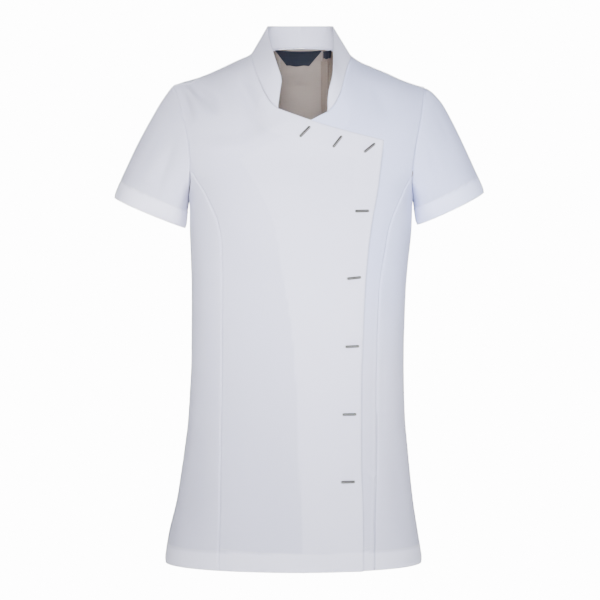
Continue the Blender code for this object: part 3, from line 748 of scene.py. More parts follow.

# %% [markdown]
# ## Folds, and the lie of the cloth
# Cloth that hangs from the shoulders is never quite smooth. A few soft troughs run where it is drawn
# towards the armholes and buttons, and they are placed from the photograph. The back isn't seen
# there, so it gets a few of the same kind. A very low, uneven swell is laid over everything.

# %% Folds of the body
FOLDS = (
    # face, start across, start height, end across, end height, half width, depth
    ("front", -0.182, -0.022, -0.116, -0.094, 0.012, 0.0088),
    ("front", -0.184, -0.034, -0.156, -0.112, 0.010, 0.0060),
    ("front", -0.100, -0.020, -0.050, -0.126, 0.014, 0.0070),
    ("front", 0.106, -0.040, 0.130, -0.104, 0.018, 0.0022),
    ("front", -0.150, -0.230, -0.090, -0.300, 0.022, 0.0016),
    ("front", 0.150, -0.235, 0.105, -0.290, 0.020, 0.0012),
    ("front", -0.040, -0.440, -0.052, -0.720, 0.030, 0.0014),
    ("front", 0.135, -0.520, 0.150, -0.735, 0.020, 0.0018),
    ("front", -0.150, -0.540, -0.165, -0.740, 0.020, 0.0018),
    ("back", -0.028, -0.028, 0.024, -0.038, 0.007, -0.0038),
    ("back", -0.042, -0.016, 0.042, -0.009, 0.010, 0.0022),
    ("back", -0.150, -0.070, -0.080, -0.150, 0.020, 0.0018),
    ("back", 0.150, -0.075, 0.085, -0.160, 0.020, 0.0018),
    ("back", -0.110, -0.400, -0.030, -0.450, 0.018, 0.0020),
    ("back", 0.110, -0.410, 0.040, -0.470, 0.018, 0.0020),
    ("back", -0.040, -0.500, -0.060, -0.730, 0.030, 0.0016),
    ("back", 0.050, -0.520, 0.075, -0.730, 0.030, 0.0016),
)
FOLD_ENDS = 2.5


def trough(part, aside, half_width, depth):
    """A soft trough that fades at both ends, at a share of its length and a distance from its middle line."""
    ends = ease(FOLD_ENDS * part) * ease(FOLD_ENDS * (1 - part))
    return depth * ends * np.exp(-2 * (aside / half_width) ** 2)


def fold_depth(points):
    """Depth of the soft folds at points of the body."""
    depth = np.zeros(points.shape[:-1])
    for face, start_x, start_z, end_x, end_z, half_width, deepest in FOLDS:
        run = np.array((end_x - start_x, end_z - start_z))
        span = np.linalg.norm(run)
        offset_x = points[..., 0] - start_x
        offset_z = points[..., 2] - start_z
        part = (offset_x * run[0] + offset_z * run[1]) / span**2
        aside = (offset_x * run[1] - offset_z * run[0]) / span
        on_face = points[..., 1] < 0 if face == "front" else points[..., 1] > 0
        depth += np.where(on_face, trough(part, aside, half_width, deepest), 0.0)
    return depth


def swell(points):
    """Low uneven rise and fall of cloth, at two sizes."""
    flat = points.reshape(-1, 3)
    wide = np.array([noise.noise(Vector(spot) * 11.0) for spot in flat])
    small = np.array([noise.noise(Vector(spot) * 34.0) for spot in flat])
    return (0.0009 * wide + 0.00022 * small).reshape(points.shape[:-1])


def cloth(places, out=0.0):
    """Points at a distance outside the outer face of the cloth, folds included."""
    bare = surface(places)
    away = np.asarray(out) - fold_depth(bare)
    return bare + outward(places) * away[..., None]


print(len(FOLDS), "folds on the body")

# %% [markdown]
# ## Edges of a panel
# An edge that is sewn rolls into its seam, with a low ridge beside it where the turnings are ironed
# inside. A free edge is turned and lies a little rounded. To have vertices for these, each grid gets extra
# lines close to its edges, and one last line that turns inwards, deep at a seam and shallow at a free edge.
# So two panels meet in a closed groove, and no light comes through.

# %% Extra lines near the edges
EDGE_LINES = (0.0, 0.16, 0.34, 0.56, 0.8)
SEAM_TUCK = 0.0016
EDGE_TUCK = 0.0006
TUCK_FLOOR = -0.0005
STEP = 0.0006


def lines(count):
    """Line numbers of a grid side, with extra ones in its first and last cell."""
    extra = np.array(EDGE_LINES)
    return np.unique(np.concatenate((np.arange(count + 1.0), extra, count - extra)))


def along_axis(values, wanted, axis):
    """Read an array between its lines, straight from one to the next."""
    low = np.minimum(np.floor(wanted).astype(int), values.shape[axis] - 2)
    shape = [1] * values.ndim
    shape[axis] = len(wanted)
    part = (wanted - low).reshape(shape)
    return np.take(values, low, axis) * (1 - part) + np.take(values, low + 1, axis) * part


def refine(grid):
    """Grid of places with extra lines near all four edges."""
    taller = along_axis(grid, lines(grid.shape[0] - 1), 0)
    return along_axis(taller, lines(grid.shape[1] - 1), 1)


def at_run(run, values, wanted):
    """Read values along a line, at distances from its start."""
    return np.stack([np.interp(wanted, run, column) for column in values.T], axis=-1)


def near(line, points):
    """Distance of each point from a line of points, and how far along the line that is."""
    run = run_of(line)
    wanted = np.arange(0.0, run[-1] + STEP, STEP)
    tree = kdtree.KDTree(len(wanted))
    for number, spot in enumerate(at_run(run, line, wanted)):
        tree.insert(spot, number)
    tree.balance()
    hits = np.array([tree.find(spot)[1:] for spot in points.reshape(-1, 3)])
    number, distance = hits.T.reshape(2, *points.shape[:-1])
    return distance, number * STEP


def tuck(line, amount):
    """The last line of an edge, turned inwards, though not out again where the edge has already rolled in."""
    return np.maximum(line - amount, np.minimum(line, TUCK_FLOOR) - SEAM_TUCK)


print("extra lines in an edge cell:", len(EDGE_LINES) - 1)

# %% Relief of seams, free edges and hems
HEM_DEPTH = 0.028
HEM_DEPTH_SLEEVE = 0.026
HEM_TURN = 0.0015
HEM_REACH = 0.2
# Where two sewn edges meet, they roll in no deeper than this.
CORNER_DEPTH = -0.0012


def pucker(along, length):
    """An uneven ripple along a line of stitches."""
    return np.sin(2 * math.pi * along / length + 1.7 * np.sin(along / (0.61 * length)))


def seam_relief(distance, along, ridge):
    """A sewn edge: rolled in, with a ridge of ironed turnings beside it, and a slight pucker."""
    roll = -0.0011 * bump(distance, 0.0014)
    turnings = ridge * ease((distance + 0.0004) / 0.0018) * ease((0.0080 - distance) / 0.0055)
    ripple = 0.00012 * pucker(along, 0.011) * bump(distance - 0.003, 0.005)
    return roll + turnings + ripple


def edge_relief(distance, along):
    """A free edge: turned, rounded and a little wavy."""
    return -0.0005 * bump(distance, 0.0010) + 0.0002 * pucker(along, 0.043) * bump(distance, 0.012)


def hem_relief(distance, along, depth):
    """A turned hem: thicker up to its stitches, which pull a fine groove."""
    turned = 0.00025 * ease((depth - distance) / HEM_TURN)
    groove = -0.00045 * bump(distance - depth, 0.0016)
    ripple = 0.00016 * pucker(along, 0.013) * bump(distance - depth, 0.007)
    return turned + groove + ripple - 0.0016 * bump(distance, 0.0040)


print("hems are", HEM_DEPTH, "and", HEM_DEPTH_SLEEVE, "m deep")

# %% [markdown]
# ## From a grid to a sheet of cloth
# Blender's grid operator makes the flat sheet with its rows and columns, and each vertex is then moved to
# its place on the form. The same loop writes the UV map, the attribute `doubled`, and the three attributes
# that paint light and shade into the colour. A Solidify modifier gives the cloth its thickness inwards,
# nearly twice as much where it is doubled, and puts a darker material that paints shade on its inside and
# rim.

# %% Sheet maker
CLOTH_WALL = 0.0015
SINGLE_SHARE = 0.6
# Painted shadows beside an edge: a line of the front, how far the shadow reaches past it, its top, and how
# softly it ends.
PAINTED_SHADOWS = {
    "left_front_centre": ("overlap", 0.020, -0.12, 0.03),
    "left_front_side": ("left_seam", 0.010, -0.48, 0.06),
}


def past(line, points):
    """How far points lie past a line of the front, towards the wearer's left."""
    return points[..., 0] - read(FRONT, line, points[..., 2])


def casts_at(name, points):
    """How far each painted cast of the cloth goes. A cool light is painted on the left front and sleeve above
    the waist, shade is painted on the inside of the left back by the neck, and a thin shadow is painted
    beside the edges of the overlap and the pocket mouth."""
    casts = dict.fromkeys(("painted_cool_light", "painted_neck_shade", "pressed"), np.zeros(points.shape[:-1]))
    height = points[..., 2]
    if name.startswith("left_back"):
        # Painted shade inside the left back, by the neck.
        casts["painted_neck_shade"] = ease((height + 0.16) / 0.06)
    elif name.startswith("left"):
        # Painted cool light on the left front and sleeve, above the waist.
        casts["painted_cool_light"] = ease((height + 0.50) / 0.22)
    # A painted shadow beside the edge of the overlap and of the pocket mouth.
    if name in PAINTED_SHADOWS:
        line, width, top, fade = PAINTED_SHADOWS[name]
        casts["pressed"] = np.clip(1 - past(line, points) / width, 0.0, 2.0) * ease((top - height) / fade)
    return casts


def threads(places):
    """Places on the form as metres along and across the cloth."""
    return places * (THREAD_TURN, 1.0)


def add_piece(name, shape, *materials):
    """A smooth piece of the tunic, made from a bmesh."""
    piece = add_mesh(name, shape, *materials)
    piece.data.shade_smooth()
    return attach(piece, "root")


def make_sheet(name, points, thread, doubled, material, reverse, wall=CLOTH_WALL, ring=False):
    """A sheet laid on points[row][column], with the second material inside and on its rim, which on the cloth
    paints shade. A ring closes on its first column.
    """
    rows, cols = points.shape[0] - 1, points.shape[1] - 1
    shape = bmesh.new()
    bmesh.ops.create_grid(shape, x_segments=cols, y_segments=rows, size=0.5)
    uv_layer = shape.loops.layers.uv.new("thread")
    values = {"doubled": doubled, **casts_at(name, points)}
    layers = {key: shape.verts.layers.float.new(key) for key in values}
    weights = shape.verts.layers.deform.verify()
    cells = {}
    for vert in shape.verts:
        cell = (round((vert.co.y + 0.5) * rows), round((vert.co.x + 0.5) * cols))
        cells[vert] = cell
        vert.co = points[cell]
        vert[weights][0] = doubled[cell]
        for key, layer in layers.items():
            vert[layer] = values[key][cell]
    for face in shape.faces:
        for loop in face.loops:
            loop[uv_layer].uv = thread[cells[loop.vert]]
    if ring:
        bmesh.ops.remove_doubles(shape, verts=shape.verts, dist=1e-6)
    piece = add_piece(name, shape, material, reverse)
    piece.vertex_groups.new(name="doubled")
    solid = piece.modifiers.new("wall", "SOLIDIFY")
    solid.thickness = wall
    solid.offset = -1.0
    solid.vertex_group = "doubled"
    solid.thickness_vertex_group = SINGLE_SHARE
    # The inside and the rim get the second material, which on the cloth is the reverse that paints shade.
    solid.material_offset = 1
    solid.material_offset_rim = 1
    print(name, "has", len(piece.data.vertices), "vertices")
    return piece


def declare(piece, name, with_pieces=()):
    """A sheet stands for its plain solid, which is hidden."""
    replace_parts(piece, name)


# %% [markdown]
# ## Stitches
# A machine stitch is a short dash of thread that dips into the cloth at both ends. Each one is a small
# stretched ball, with few faces because there are hundreds. A row of them follows a line of points.

# %% Stitch rows
STITCH_LENGTH = 0.0024
STITCH_PITCH = 0.0030
STITCH_RISE = 0.0002
THREAD_RADIUS = 0.00028
LOOK_AHEAD = 0.0005


def seated(spot, along, side, up):
    """Matrix that moves a shape to a spot and turns its three axes along three directions."""
    return Matrix.Translation(spot) @ Matrix((along, side, up)).transposed().to_4x4()


def stitch_row(name, line, facing, material, pitch=STITCH_PITCH, length=STITCH_LENGTH):
    """A row of stitches along a line of points, each lying flat under its outward direction."""
    run = run_of(line)
    middles = np.arange(pitch / 2, run[-1], pitch)
    ahead = at_run(run, line, middles + LOOK_AHEAD)
    stretch = Matrix.Diagonal((length / 2, THREAD_RADIUS, THREAD_RADIUS, 1.0))
    shape = bmesh.new()
    for spot, nose, out in zip(at_run(run, line, middles), ahead, at_run(run, facing, middles)):
        along = (Vector(nose) - Vector(spot)).normalized()
        side = Vector(out).cross(along).normalized()
        bmesh.ops.create_uvsphere(shape, u_segments=6, v_segments=4, radius=1.0,
                                  matrix=seated(spot, along, side, along.cross(side)) @ stretch)
    return add_piece(name, shape, material)


print("stitches are", STITCH_LENGTH, "m long, one every", STITCH_PITCH, "m")

# %% [markdown]
# ## The seven panels
# A tunic of this kind is cut with princess seams, which run from the armholes past the bust to the hem and
# shape the front without darts. The back has the same, so there are seven panels: two to each front and
# three behind. The right front laps over the left one, so it is lifted by twice the thickness of the cloth,
# and settles onto the body beside the edge of the underlap.

# %% How the overlap lies
LAP_LIFT = 0.0030
EDGE_LIFT = 0.0014
LAP_FADE = 0.070
NECK_FADE = 0.040
LAP_MARGIN = 0.015
LAP_TUCK = 0.0026
SEWN_GAP = 0.00005


def below(edge, points):
    """How far points lie below a neck edge."""
    return read(edge, "height", points[..., 0]) - points[..., 2]


def lap_lift(places):
    """How far the overlap stands off the body: clear of the underlap, and settled beyond its edges."""
    points = surface(places)
    beside = ease((past("underlap", points) + LAP_FADE) / (LAP_FADE - LAP_MARGIN))
    above = ease((below(LEFT_NECK_EDGE, points) + NECK_FADE) / (NECK_FADE - LAP_MARGIN))
    looser = 1 + 1.2 * ease((-0.600 - points[..., 2]) / 0.08)
    at_edge = looser * bump(past("overlap", points), 0.012)
    at_neck = 0.1 * bump(below(RIGHT_NECK_EDGE, points), 0.012)
    return (LAP_LIFT + EDGE_LIFT * np.maximum(at_edge, at_neck)) * beside * above


BUTTONS = (
    # across, height, tilt in degrees
    (0.0055, -0.1230, 46.0),
    (0.0515, -0.1370, 52.0),
    (0.0972, -0.1452, 38.0),
    (0.0860, -0.2358, 2.0),
    (0.0749, -0.3311, 6.0),
    (0.0725, -0.4311, 2.0),
    (0.0682, -0.5297, 0.0),
    (0.0660, -0.6266, 0.0),
)


def button_relief(points):
    """The cloth is held down where a button is sewn on, and stands a little slack above it."""
    relief = np.zeros(points.shape[:-1])
    for across, height, _ in BUTTONS:
        aside = points[..., 0] - across
        above = points[..., 2] - height
        relief -= 0.0007 * bump(aside, 0.010) * bump(above, 0.006)
        relief += 0.0006 * bump(aside, 0.013) * bump(above - 0.014, 0.006)
    return relief


print("the overlap stands", LAP_LIFT, "m off the underlap")

# %% [markdown]
# Inside, the turnings of each seam are ironed to one side and their raw edges are overlocked. They are
# narrow strips that lie against the inside of one panel and cross under the seam, which also closes it to
# light. Strips and overlock thread take the dark colour of the reverse, which paints the shade inside.

# %% Turnings inside a seam
TURNING_OFFSETS = (-0.0012, 0.0015, 0.0040, 0.0070, 0.0100)
TURNING_DEPTHS = (0.0033, 0.0031, 0.0025, 0.0022, 0.0021)
TURNING_WALL = 0.0008
TURNING_START = 0.0015


def turning(name, grid, edge, highest):
    """The turnings inside one edge of a panel: "first", "last" or "top", up to a height."""
    cut = {"first": np.s_[:, 0], "last": np.s_[:, -1], "top": np.s_[-1, : COLS_SHOULDER + 1]}[edge]
    strip = np.stack([inset(grid, **{edge: offset})[cut] for offset in TURNING_OFFSETS], axis=1)
    height = surface(strip)[:, 0, 2]
    strip = strip[(height > HEM + TURNING_START) & (height < highest)]
    points = cloth(strip, swell(surface(strip)) - np.array(TURNING_DEPTHS))
    inside = -outward(strip[:, -2])
    seam = points[:, -2] + inside * TURNING_WALL
    row = len(points) // 2
    across = np.cross(points[row, 3] - points[row, 2], points[row + 1, 2] - points[row, 2])
    if np.dot(across, inside[row]) > 0:
        points, strip = points[:, ::-1], strip[:, ::-1]
    single = np.zeros(points.shape[:2])
    piece = make_sheet(name, points, threads(strip), single, twill_reverse_painted_shade, twill_reverse_painted_shade,
                       wall=TURNING_WALL / SINGLE_SHARE)
    return [piece, stitch_row(name + "_overlock", seam, inside, overlock_thread_painted_shade, pitch=0.0055, length=0.0046)]


print("turnings are", TURNING_OFFSETS[-1], "m wide")

# %% Panel maker
# How wide an edge of each kind reads as doubled, and how much.
DOUBLED = {"sewn": (0.008, 0.08), "free": (0.038, 0.23)}


def panel(name, grid, last="sewn", ridge=0.0, lift=None, sewn_top=math.inf, doubled=None, relief=None,
          turnings=None):
    """A panel with seams, free edges and hem. `sewn_top` is the number of top cells that are sewn, `ridge`
    the height of the turnings that are ironed to its side, and `turnings` the edges that they lie along."""
    half_gap = SEWN_GAP / 2
    grid = inset(grid, first=half_gap, last=half_gap if last == "sewn" else 0.0, top=half_gap)
    sewn_on = []
    for edge, highest in (turnings or {}).items():
        sewn_on += turning(name + "_" + edge + "_turning", grid, edge, highest)
    kinds = ("sewn", last)
    from_end = grid[0, -1, 0] < grid[0, 0, 0]
    if from_end:
        grid, kinds = grid[:, ::-1], kinds[::-1]
    cols = grid.shape[1] - 1
    top_is_sewn = (cols - lines(cols) if from_end else lines(cols)) <= sewn_top
    fine = refine(grid)
    bare = surface(fine)
    hem_distance, hem_along = near(bare[0], bare)
    double = ease((HEM_DEPTH - hem_distance) / HEM_TURN)
    in_reach = hem_distance <= HEM_REACH
    out = swell(bare) + np.where(in_reach, hem_relief(hem_distance, hem_along, HEM_DEPTH), 0.0)
    rolled = np.zeros(out.shape)
    top = bare[-1]
    for kind, edge in ((kinds[0], bare[:, 0]), (kinds[1], bare[:, -1]), ("sewn", top[top_is_sewn]),
                       ("free", top[~top_is_sewn])):
        if len(edge) > 1:
            distance, along = near(edge, bare)
            rolled += seam_relief(distance, along, ridge) if kind == "sewn" else edge_relief(distance, along)
            width, share = DOUBLED[kind]
            double = np.maximum(double, share * ease((width - distance) / 0.002))
    out += np.maximum(rolled, CORNER_DEPTH)
    if doubled:
        double = np.maximum(double, doubled(bare))
    if lift:
        out += lift(fine)
    if relief:
        out += relief(bare)

    tucks = {"sewn": SEAM_TUCK, "free": LAP_TUCK if lift else EDGE_TUCK}
    top_tucks = np.pad(np.where(top_is_sewn, tucks["sewn"], tucks["free"]), 1, "edge")
    fine = np.pad(fine, ((1, 1), (1, 1), (0, 0)), "edge")
    double = np.pad(double, 1, "edge")
    out = np.pad(out, 1, "edge")
    out[0] = tuck(out[0], EDGE_TUCK)
    out[-1] = tuck(out[-1], top_tucks)
    out[:, 0] = tuck(out[:, 0], tucks[kinds[0]])
    out[:, -1] = tuck(out[:, -1], tucks[kinds[1]])
    points = cloth(fine, out)
    piece = make_sheet(name, points, threads(fine), double, white_twill, twill_reverse_painted_shade)

    row = int(np.argmin(np.abs(fine[:, fine.shape[1] // 2, 1] - HEM - HEM_DEPTH)))
    facing = outward(fine[row, 1:-1])
    seam = points[row, 1:-1] + facing * STITCH_RISE
    stitches = stitch_row(name + "_hem_stitches", seam, facing, white_thread)
    declare(piece, name, with_pieces=[stitches, *sewn_on])


print("edges read as doubled over", {kind: width for kind, (width, _) in DOUBLED.items()}, "m")

# %% The two fronts
SEWN_FRONT = COLS_SHOULDER + COLS_NECK_FRONT
POCKET_FOOT = -0.625
POCKET_HEAD = -0.430
TACK_HEIGHT = -0.618


def shows(distance):
    """0 before an edge and 1 past it, over a millimetre on each side."""
    return ease((distance + 0.001) / 0.002)


def over_underlap(points):
    """The right front looks lighter where the left one lies behind it."""
    share = 0.17 + 0.33 * ease((-0.20 - points[..., 2]) / 0.20)
    return share * shows(past("underlap", points)) * shows(below(LEFT_NECK_EDGE, points))


def pocket_level(points):
    """1 at the heights of the pocket mouth, and 0 above and below it."""
    height = points[..., 2]
    return ease((height - POCKET_FOOT) / 0.008) * ease((POCKET_HEAD - height) / 0.010)


def pocket_front(points):
    """The front edge of the pocket mouth, with the pull of the bar tack that closes its lower end."""
    beside = -past("left_seam", points)
    over_tack = points[..., 2] - TACK_HEIGHT - 0.5 * beside
    pull = 0.0016 * bump(over_tack - 0.002, 0.0035) - 0.0014 * bump(over_tack + 0.006, 0.0040)
    return 0.0004 * bump(beside, 0.004) * pocket_level(points) + pull * bump(beside - 0.003, 0.007)


def pocket_side(points):
    """The seam is left open at the pocket mouth, so the side panel lies deeper there, and the pocket's inner
    edge is stitched through beside it."""
    beside = past("left_seam", points)
    groove = -0.0016 * bump(beside, 0.0020)
    stitched = -0.0006 * bump(beside - 0.0090, 0.0016)
    return (groove + stitched) * pocket_level(points)


panel("right_front_centre", front_centre_grid("right"), last="free", lift=lap_lift, sewn_top=SEWN_FRONT,
      doubled=over_underlap, relief=button_relief)
panel("left_front_centre", front_centre_grid("left"), last="free", sewn_top=SEWN_FRONT, relief=pocket_front)
panel("right_front_side", front_side_grid("right"), ridge=0.0003, turnings={"first": 0.0})
panel("left_front_side", front_side_grid("left"), relief=pocket_side, turnings={"first": 0.0})

# %% The back
for back_side, seam_top in (("right", -0.004), ("left", 0.005)):
    panel(back_side + "_back", back_side_grid(back_side), ridge=0.0004,
          turnings={"first": UNDERARM, "last": seam_top, "top": 0.0})
panel("back_centre", back_centre_grid())

# %% [markdown]
# ## The sleeves
# A short set-in sleeve is a tube whose upper end is the armhole and whose lower end is the hemmed mouth.
# Each ring of points runs once round it, from the shoulder seam down the front, under the arm and up the
# back. The crown swells a little, because more cloth is eased into a sleeve head than the armhole is long.

# %% Sleeve rings
ROWS_SLEEVE = 44
SLEEVE_FOLDS = {
    # turn round the sleeve in degrees and share of its length, at the start and at the end, half width in
    # metres, depth
    "right": ((66.0, 0.05, 92.0, 0.90, 0.017, 0.0030), (120.0, 0.02, 112.0, 0.55, 0.012, 0.0012),
              (35.0, 0.15, 50.0, 0.80, 0.014, 0.0014), (250.0, 0.05, 262.0, 0.80, 0.012, 0.0024),
              (300.0, 0.10, 290.0, 0.80, 0.014, 0.0016)),
    "left": ((75.0, 0.04, 92.0, 0.75, 0.016, 0.0009), (118.0, 0.02, 122.0, 0.60, 0.014, 0.0014),
             (30.0, 0.05, 42.0, 0.50, 0.016, 0.0009), (245.0, 0.05, 258.0, 0.80, 0.012, 0.0022),
             (305.0, 0.10, 292.0, 0.75, 0.014, 0.0016)),
}


def armhole_ring(side):
    """Places round the armhole: from the shoulder seam down the front, and up the back."""
    front = armhole_front(side)[::-1]
    under = armhole_under(side)
    back = armhole_back(side)
    return np.concatenate((front, under[1:], back[1:])), len(front) + len(under) - 2


def sleeve_rings(side, shares):
    """Rings of the sleeve at shares of its length, and how far round each point of a ring lies."""
    ring, lowest = armhole_ring(side)
    base = cloth(ring)
    length = run_of(base)
    down = length[: lowest + 1] / length[lowest]
    up = (length[lowest:] - length[lowest]) / (length[-1] - length[lowest])
    turn = math.pi * np.concatenate((down, 1 + up[1:]))
    base[:, 0] += SIGN[side] * SEWN_GAP / 2
    outer, inner, forward = np.array(SLEEVES[side])
    end = (outer + inner) / 2 + np.cos(turn)[:, None] * (outer - inner) / 2 + np.sin(turn)[:, None] * forward
    crown = np.array((SIGN[side] * 0.8, 0.0, 0.6))
    share = shares[:, None, None]
    weight = np.cos(turn / 2) ** 2
    rings = base[None] * (1 - share) + end[None] * share
    return rings + read(CROWN, side, share) * weight[None, :, None] * crown, turn, ring


def across_rings(rings):
    """Outward directions of a tube of rings that close on their first point."""
    around = np.roll(rings[:, :-1], -1, axis=1) - np.roll(rings[:, :-1], 1, axis=1)
    around = np.concatenate((around, around[:, :1]), axis=1)
    down = np.gradient(rings, axis=0)
    out = np.cross(around, down)
    out /= np.linalg.norm(out, axis=-1, keepdims=True)
    away = rings - rings[:, :-1].mean(axis=1, keepdims=True)
    return out * np.sign(np.sum(out * away, axis=-1).mean())


print("a sleeve has", ROWS_SLEEVE, "rows")


# %% Sleeve maker
def sleeve(side):
    """A sleeve with its seam, its folds and its hem."""
    name = side + "_sleeve"
    shares = lines(ROWS_SLEEVE) / ROWS_SLEEVE
    rings, turn, ring = sleeve_rings(side, shares)
    outs = across_rings(rings)
    run = np.stack([run_of(column) for column in rings.transpose(1, 0, 2)], axis=1)
    girth = np.linalg.norm(np.diff(rings, axis=1), axis=-1).sum(axis=1)[:, None]
    along = turn[None] / (2 * math.pi) * girth
    to_mouth = run[-1:] - run
    out = seam_relief(run, along, ridge=0.0001) + hem_relief(to_mouth, along, HEM_DEPTH_SLEEVE) + swell(rings)
    for start_turn, start, end_turn, end, half_width, depth in SLEEVE_FOLDS[side]:
        part = (shares[:, None] - start) / (end - start)
        middle = np.radians(start_turn + (end_turn - start_turn) * part)
        out -= trough(part, (turn[None] - middle) * girth / (2 * math.pi), half_width, depth)
    out[:, -1] = out[:, 0]
    double = np.pad(ease((HEM_DEPTH_SLEEVE - to_mouth) / HEM_TURN), ((1, 1), (0, 0)), "edge")
    points = np.pad(rings + outs * out[..., None], ((1, 1), (0, 0), (0, 0)), "edge")
    points[0] -= outward(ring) * SEAM_TUCK
    points[-1] -= outs[-1] * EDGE_TUCK
    points[:, -1] = points[:, 0]
    down_cloth = -np.concatenate((run[:1] - SEAM_TUCK, run, run[-1:] + EDGE_TUCK))
    thread = pair(np.pad(along, ((1, 1), (0, 0)), "edge"), down_cloth)
    way = np.s_[:, :: SIGN[side]]
    piece = make_sheet(name, points[way], thread[way], double[way], white_twill, twill_reverse_painted_shade, ring=True)

    hem_rows = [np.interp(0.0, HEM_DEPTH_SLEEVE - column, np.arange(len(column))) for column in to_mouth.T]

    def at_hem(values):
        """Read rows of the sleeve where its hem is stitched, column by column."""
        return np.array([along_axis(values[:, column], np.array((row,)), 0)[0]
                         for column, row in enumerate(hem_rows)])

    facing = at_hem(outs)
    seam = at_hem(points[1:-1]) + facing * STITCH_RISE
    declare(piece, name, with_pieces=[stitch_row(name + "_hem_stitches", seam, facing, white_thread)])


sleeve("right")
sleeve("left")

# %% [markdown]
# ## The stand collar
# The collar is a band of two layers with a stiffener. It stands on the neck seam and leans inwards, and its
# ends stand apart in front. Its rows climb from the seam to the top edge, and the top corners in front are
# cut a little round. A Bevel modifier rounds the rim, where the two layers are turned.

# %% Collar
ROWS_COLLAR = 18
COLLAR_WALL = 0.0020
COLLAR_DOUBLED = 0.2
COLLAR_TUCK = 0.0008
CORNER = 0.07
CORNER_CUT = 0.10
END_CURVE = 0.0030


def collar_lines():
    """Places along the neck seam from the right front round the nape, and the top edge above them."""
    right = np.concatenate((neck_front("right"), neck_back("right")[1:]))
    left = np.concatenate((neck_front("left"), neck_back("left")[1:]))
    nape = neck_nape()[::-1]
    right[:, 0] = np.mod(right[:, 0], 2 * math.pi)
    seam = np.concatenate((right, nape[1:-1], left[::-1]))
    behind = COLS_NECK_BACK + COLS_BACK // 2
    half_way = np.concatenate((np.linspace(0, 1, COLS_NECK_FRONT + 1), 1 + np.arange(1, behind + 1) / behind))
    along = np.concatenate((half_way, half_way[-2::-1]))
    on_left = np.arange(len(along)) >= len(half_way)
    top = np.stack((
        np.where(on_left, read(COLLAR_TOP, "left", along), read(COLLAR_TOP, "right", along)),
        read(COLLAR_TOP, "depth", along),
        np.where(on_left, read(COLLAR_TOP, "left_height", along), read(COLLAR_TOP, "right_height", along)),
    ), axis=-1)
    return seam, top, along, on_left


def make_collar():
    """The band between its seam and its top edge, with a rounded rim."""
    seam, top, along, on_left = collar_lines()
    base = cloth(seam)
    rounded = 1 - CORNER_CUT * np.clip(1 - along / CORNER, 0.0, 1.0) ** 2
    top = base + (top - base) * rounded[:, None]
    share = (lines(ROWS_COLLAR) / ROWS_COLLAR)[:, None, None]
    points = base[None] * (1 - share) + top[None] * share
    on_left_end = np.where(on_left, 1 - along / 0.5, 0.0)
    points[..., 0] -= END_CURVE * ease(on_left_end) * np.sin(math.pi * share[..., 0])
    out = np.cross(np.gradient(points, axis=1), np.gradient(points, axis=0))
    out /= -np.linalg.norm(out, axis=-1, keepdims=True)
    run = np.linalg.norm(points - points[:1], axis=-1)
    way = np.cumsum(np.linalg.norm(np.gradient(points, axis=1), axis=-1), axis=1)
    relief = seam_relief(run, way, ridge=0.0002) + 0.5 * swell(points)
    points = np.pad(points + out * relief[..., None], ((1, 0), (0, 0), (0, 0)), "edge")
    points[0] = points[1] - outward(seam) * COLLAR_TUCK
    thread = pair(np.concatenate((way[:1], way)), np.concatenate((run[:1] - SEAM_TUCK, run)))
    doubled = np.full(points.shape[:2], COLLAR_DOUBLED)
    collar = make_sheet("collar", points[:, ::-1], thread[:, ::-1], doubled, white_twill, white_twill,
                        wall=COLLAR_WALL)
    rim = collar.modifiers.new("turned_rim", "BEVEL")
    rim.width = 0.0007
    rim.segments = 2
    rim.limit_method = "ANGLE"
    rim.angle_limit = math.radians(60)
    declare(collar, "collar")


make_collar()

# %% [markdown]
# ## Labels
# The neck label and the small square tab are folded woven tape, sewn on inside the back neck just below the
# collar. Both are left bare. Their free lower edges curl a little away from the cloth.

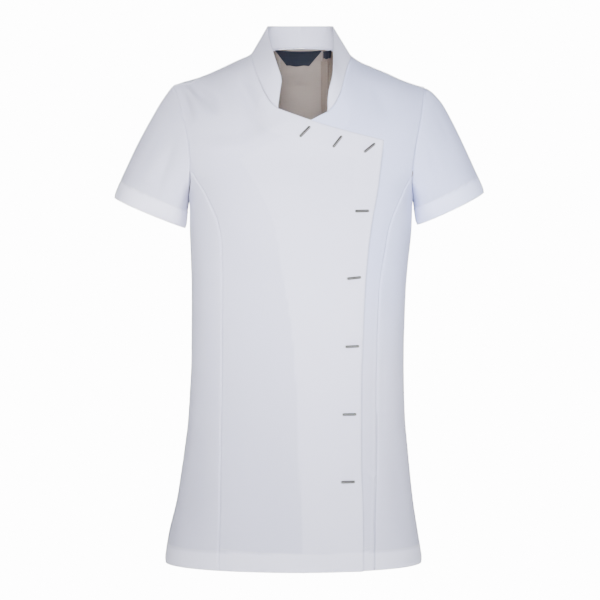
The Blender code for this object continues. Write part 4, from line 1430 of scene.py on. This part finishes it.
# %% Label and tab
LABELS = {
    # heights and ends of the top edge, the same of the bottom edge, columns and rows
    "neck_label": ((0.0185, -0.0410, 0.0335), (-0.0020, -0.0230, 0.0125), 40, 16),
    "size_tab": ((0.0175, 0.0350, 0.0472), (0.0075, 0.0352, 0.0470), 12, 12),
}
LABEL_WALL = 0.0007
LABEL_GAP = 0.0009
for label_name, (label_top, label_bottom, label_cols, label_rows) in LABELS.items():
    share = np.linspace(0, 1, label_cols + 1)[None]
    level = np.linspace(0, 1, label_rows + 1)[:, None]
    height, right_end, left_end = (low + (high - low) * level for low, high in zip(label_bottom, label_top))
    wavy = 0.0005 * np.sin(share * 9.0) * (1 - level)
    grid = place(left_end + (right_end - left_end) * share, height + wavy, behind=True)
    curl = 0.0016 * (1 - level) ** 2 * (0.6 + 0.4 * np.sin(share * 11.0 + 1.0))
    points = cloth(grid, swell(surface(grid)) - (CLOTH_WALL + LABEL_GAP + curl))
    label = make_sheet(label_name, points, threads(grid), np.ones(points.shape[:2]), navy_tape, navy_tape,
                       wall=LABEL_WALL)
    inside = -outward(grid[-1])
    seam = points[-1] + (points[-3] - points[-1]) * 0.6 + inside * LABEL_WALL
    stitches = stitch_row(label_name + "_stitches", seam, inside, navy_tape, pitch=0.0024, length=0.0018)
    declare(label, label_name, with_pieces=[stitches])

# %% [markdown]
# ## Bar buttons
# Each button is a short polished bar with rounded ends. It is sewn on from behind at its middle, where
# nothing of the thread is seen, and lies close on the cloth, which it presses in a little. The bar starts
# as a ball, whose two halves are moved apart.

# %% Buttons
BUTTON_LENGTH = 0.0220
BUTTON_RADIUS = 0.0023
BUTTON_SEAT = 0.0002


def button(number, across, height, tilt):
    """A bar on the overlap, turned up from the level by its tilt."""
    spot = place(across, height)[None]
    centre = cloth(spot, lap_lift(spot) + BUTTON_RADIUS + BUTTON_SEAT)[0]
    facing = Vector(outward(spot)[0])
    level = Vector((0, 0, 1)).cross(facing).normalized()
    up = facing.cross(level)
    bar = level * math.cos(math.radians(tilt)) + up * math.sin(math.radians(tilt))
    shape = bmesh.new()
    bmesh.ops.create_uvsphere(shape, u_segments=28, v_segments=20, radius=BUTTON_RADIUS)
    bmesh.ops.rotate(shape, verts=shape.verts, matrix=Matrix.Rotation(math.pi / 2, 3, "Y"))
    for vert in shape.verts:
        if abs(vert.co.x) > 1e-6:
            vert.co.x += math.copysign(BUTTON_LENGTH / 2 - BUTTON_RADIUS, vert.co.x)
    bmesh.ops.transform(shape, matrix=seated(centre, bar, facing.cross(bar), facing), verts=shape.verts)
    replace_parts(add_piece(f"bar_{number}", shape, steel), f"button_{number}")


for button_number, button_row in enumerate(BUTTONS, start=1):
    button(button_number, *button_row)
print(len(BUTTONS), "buttons")
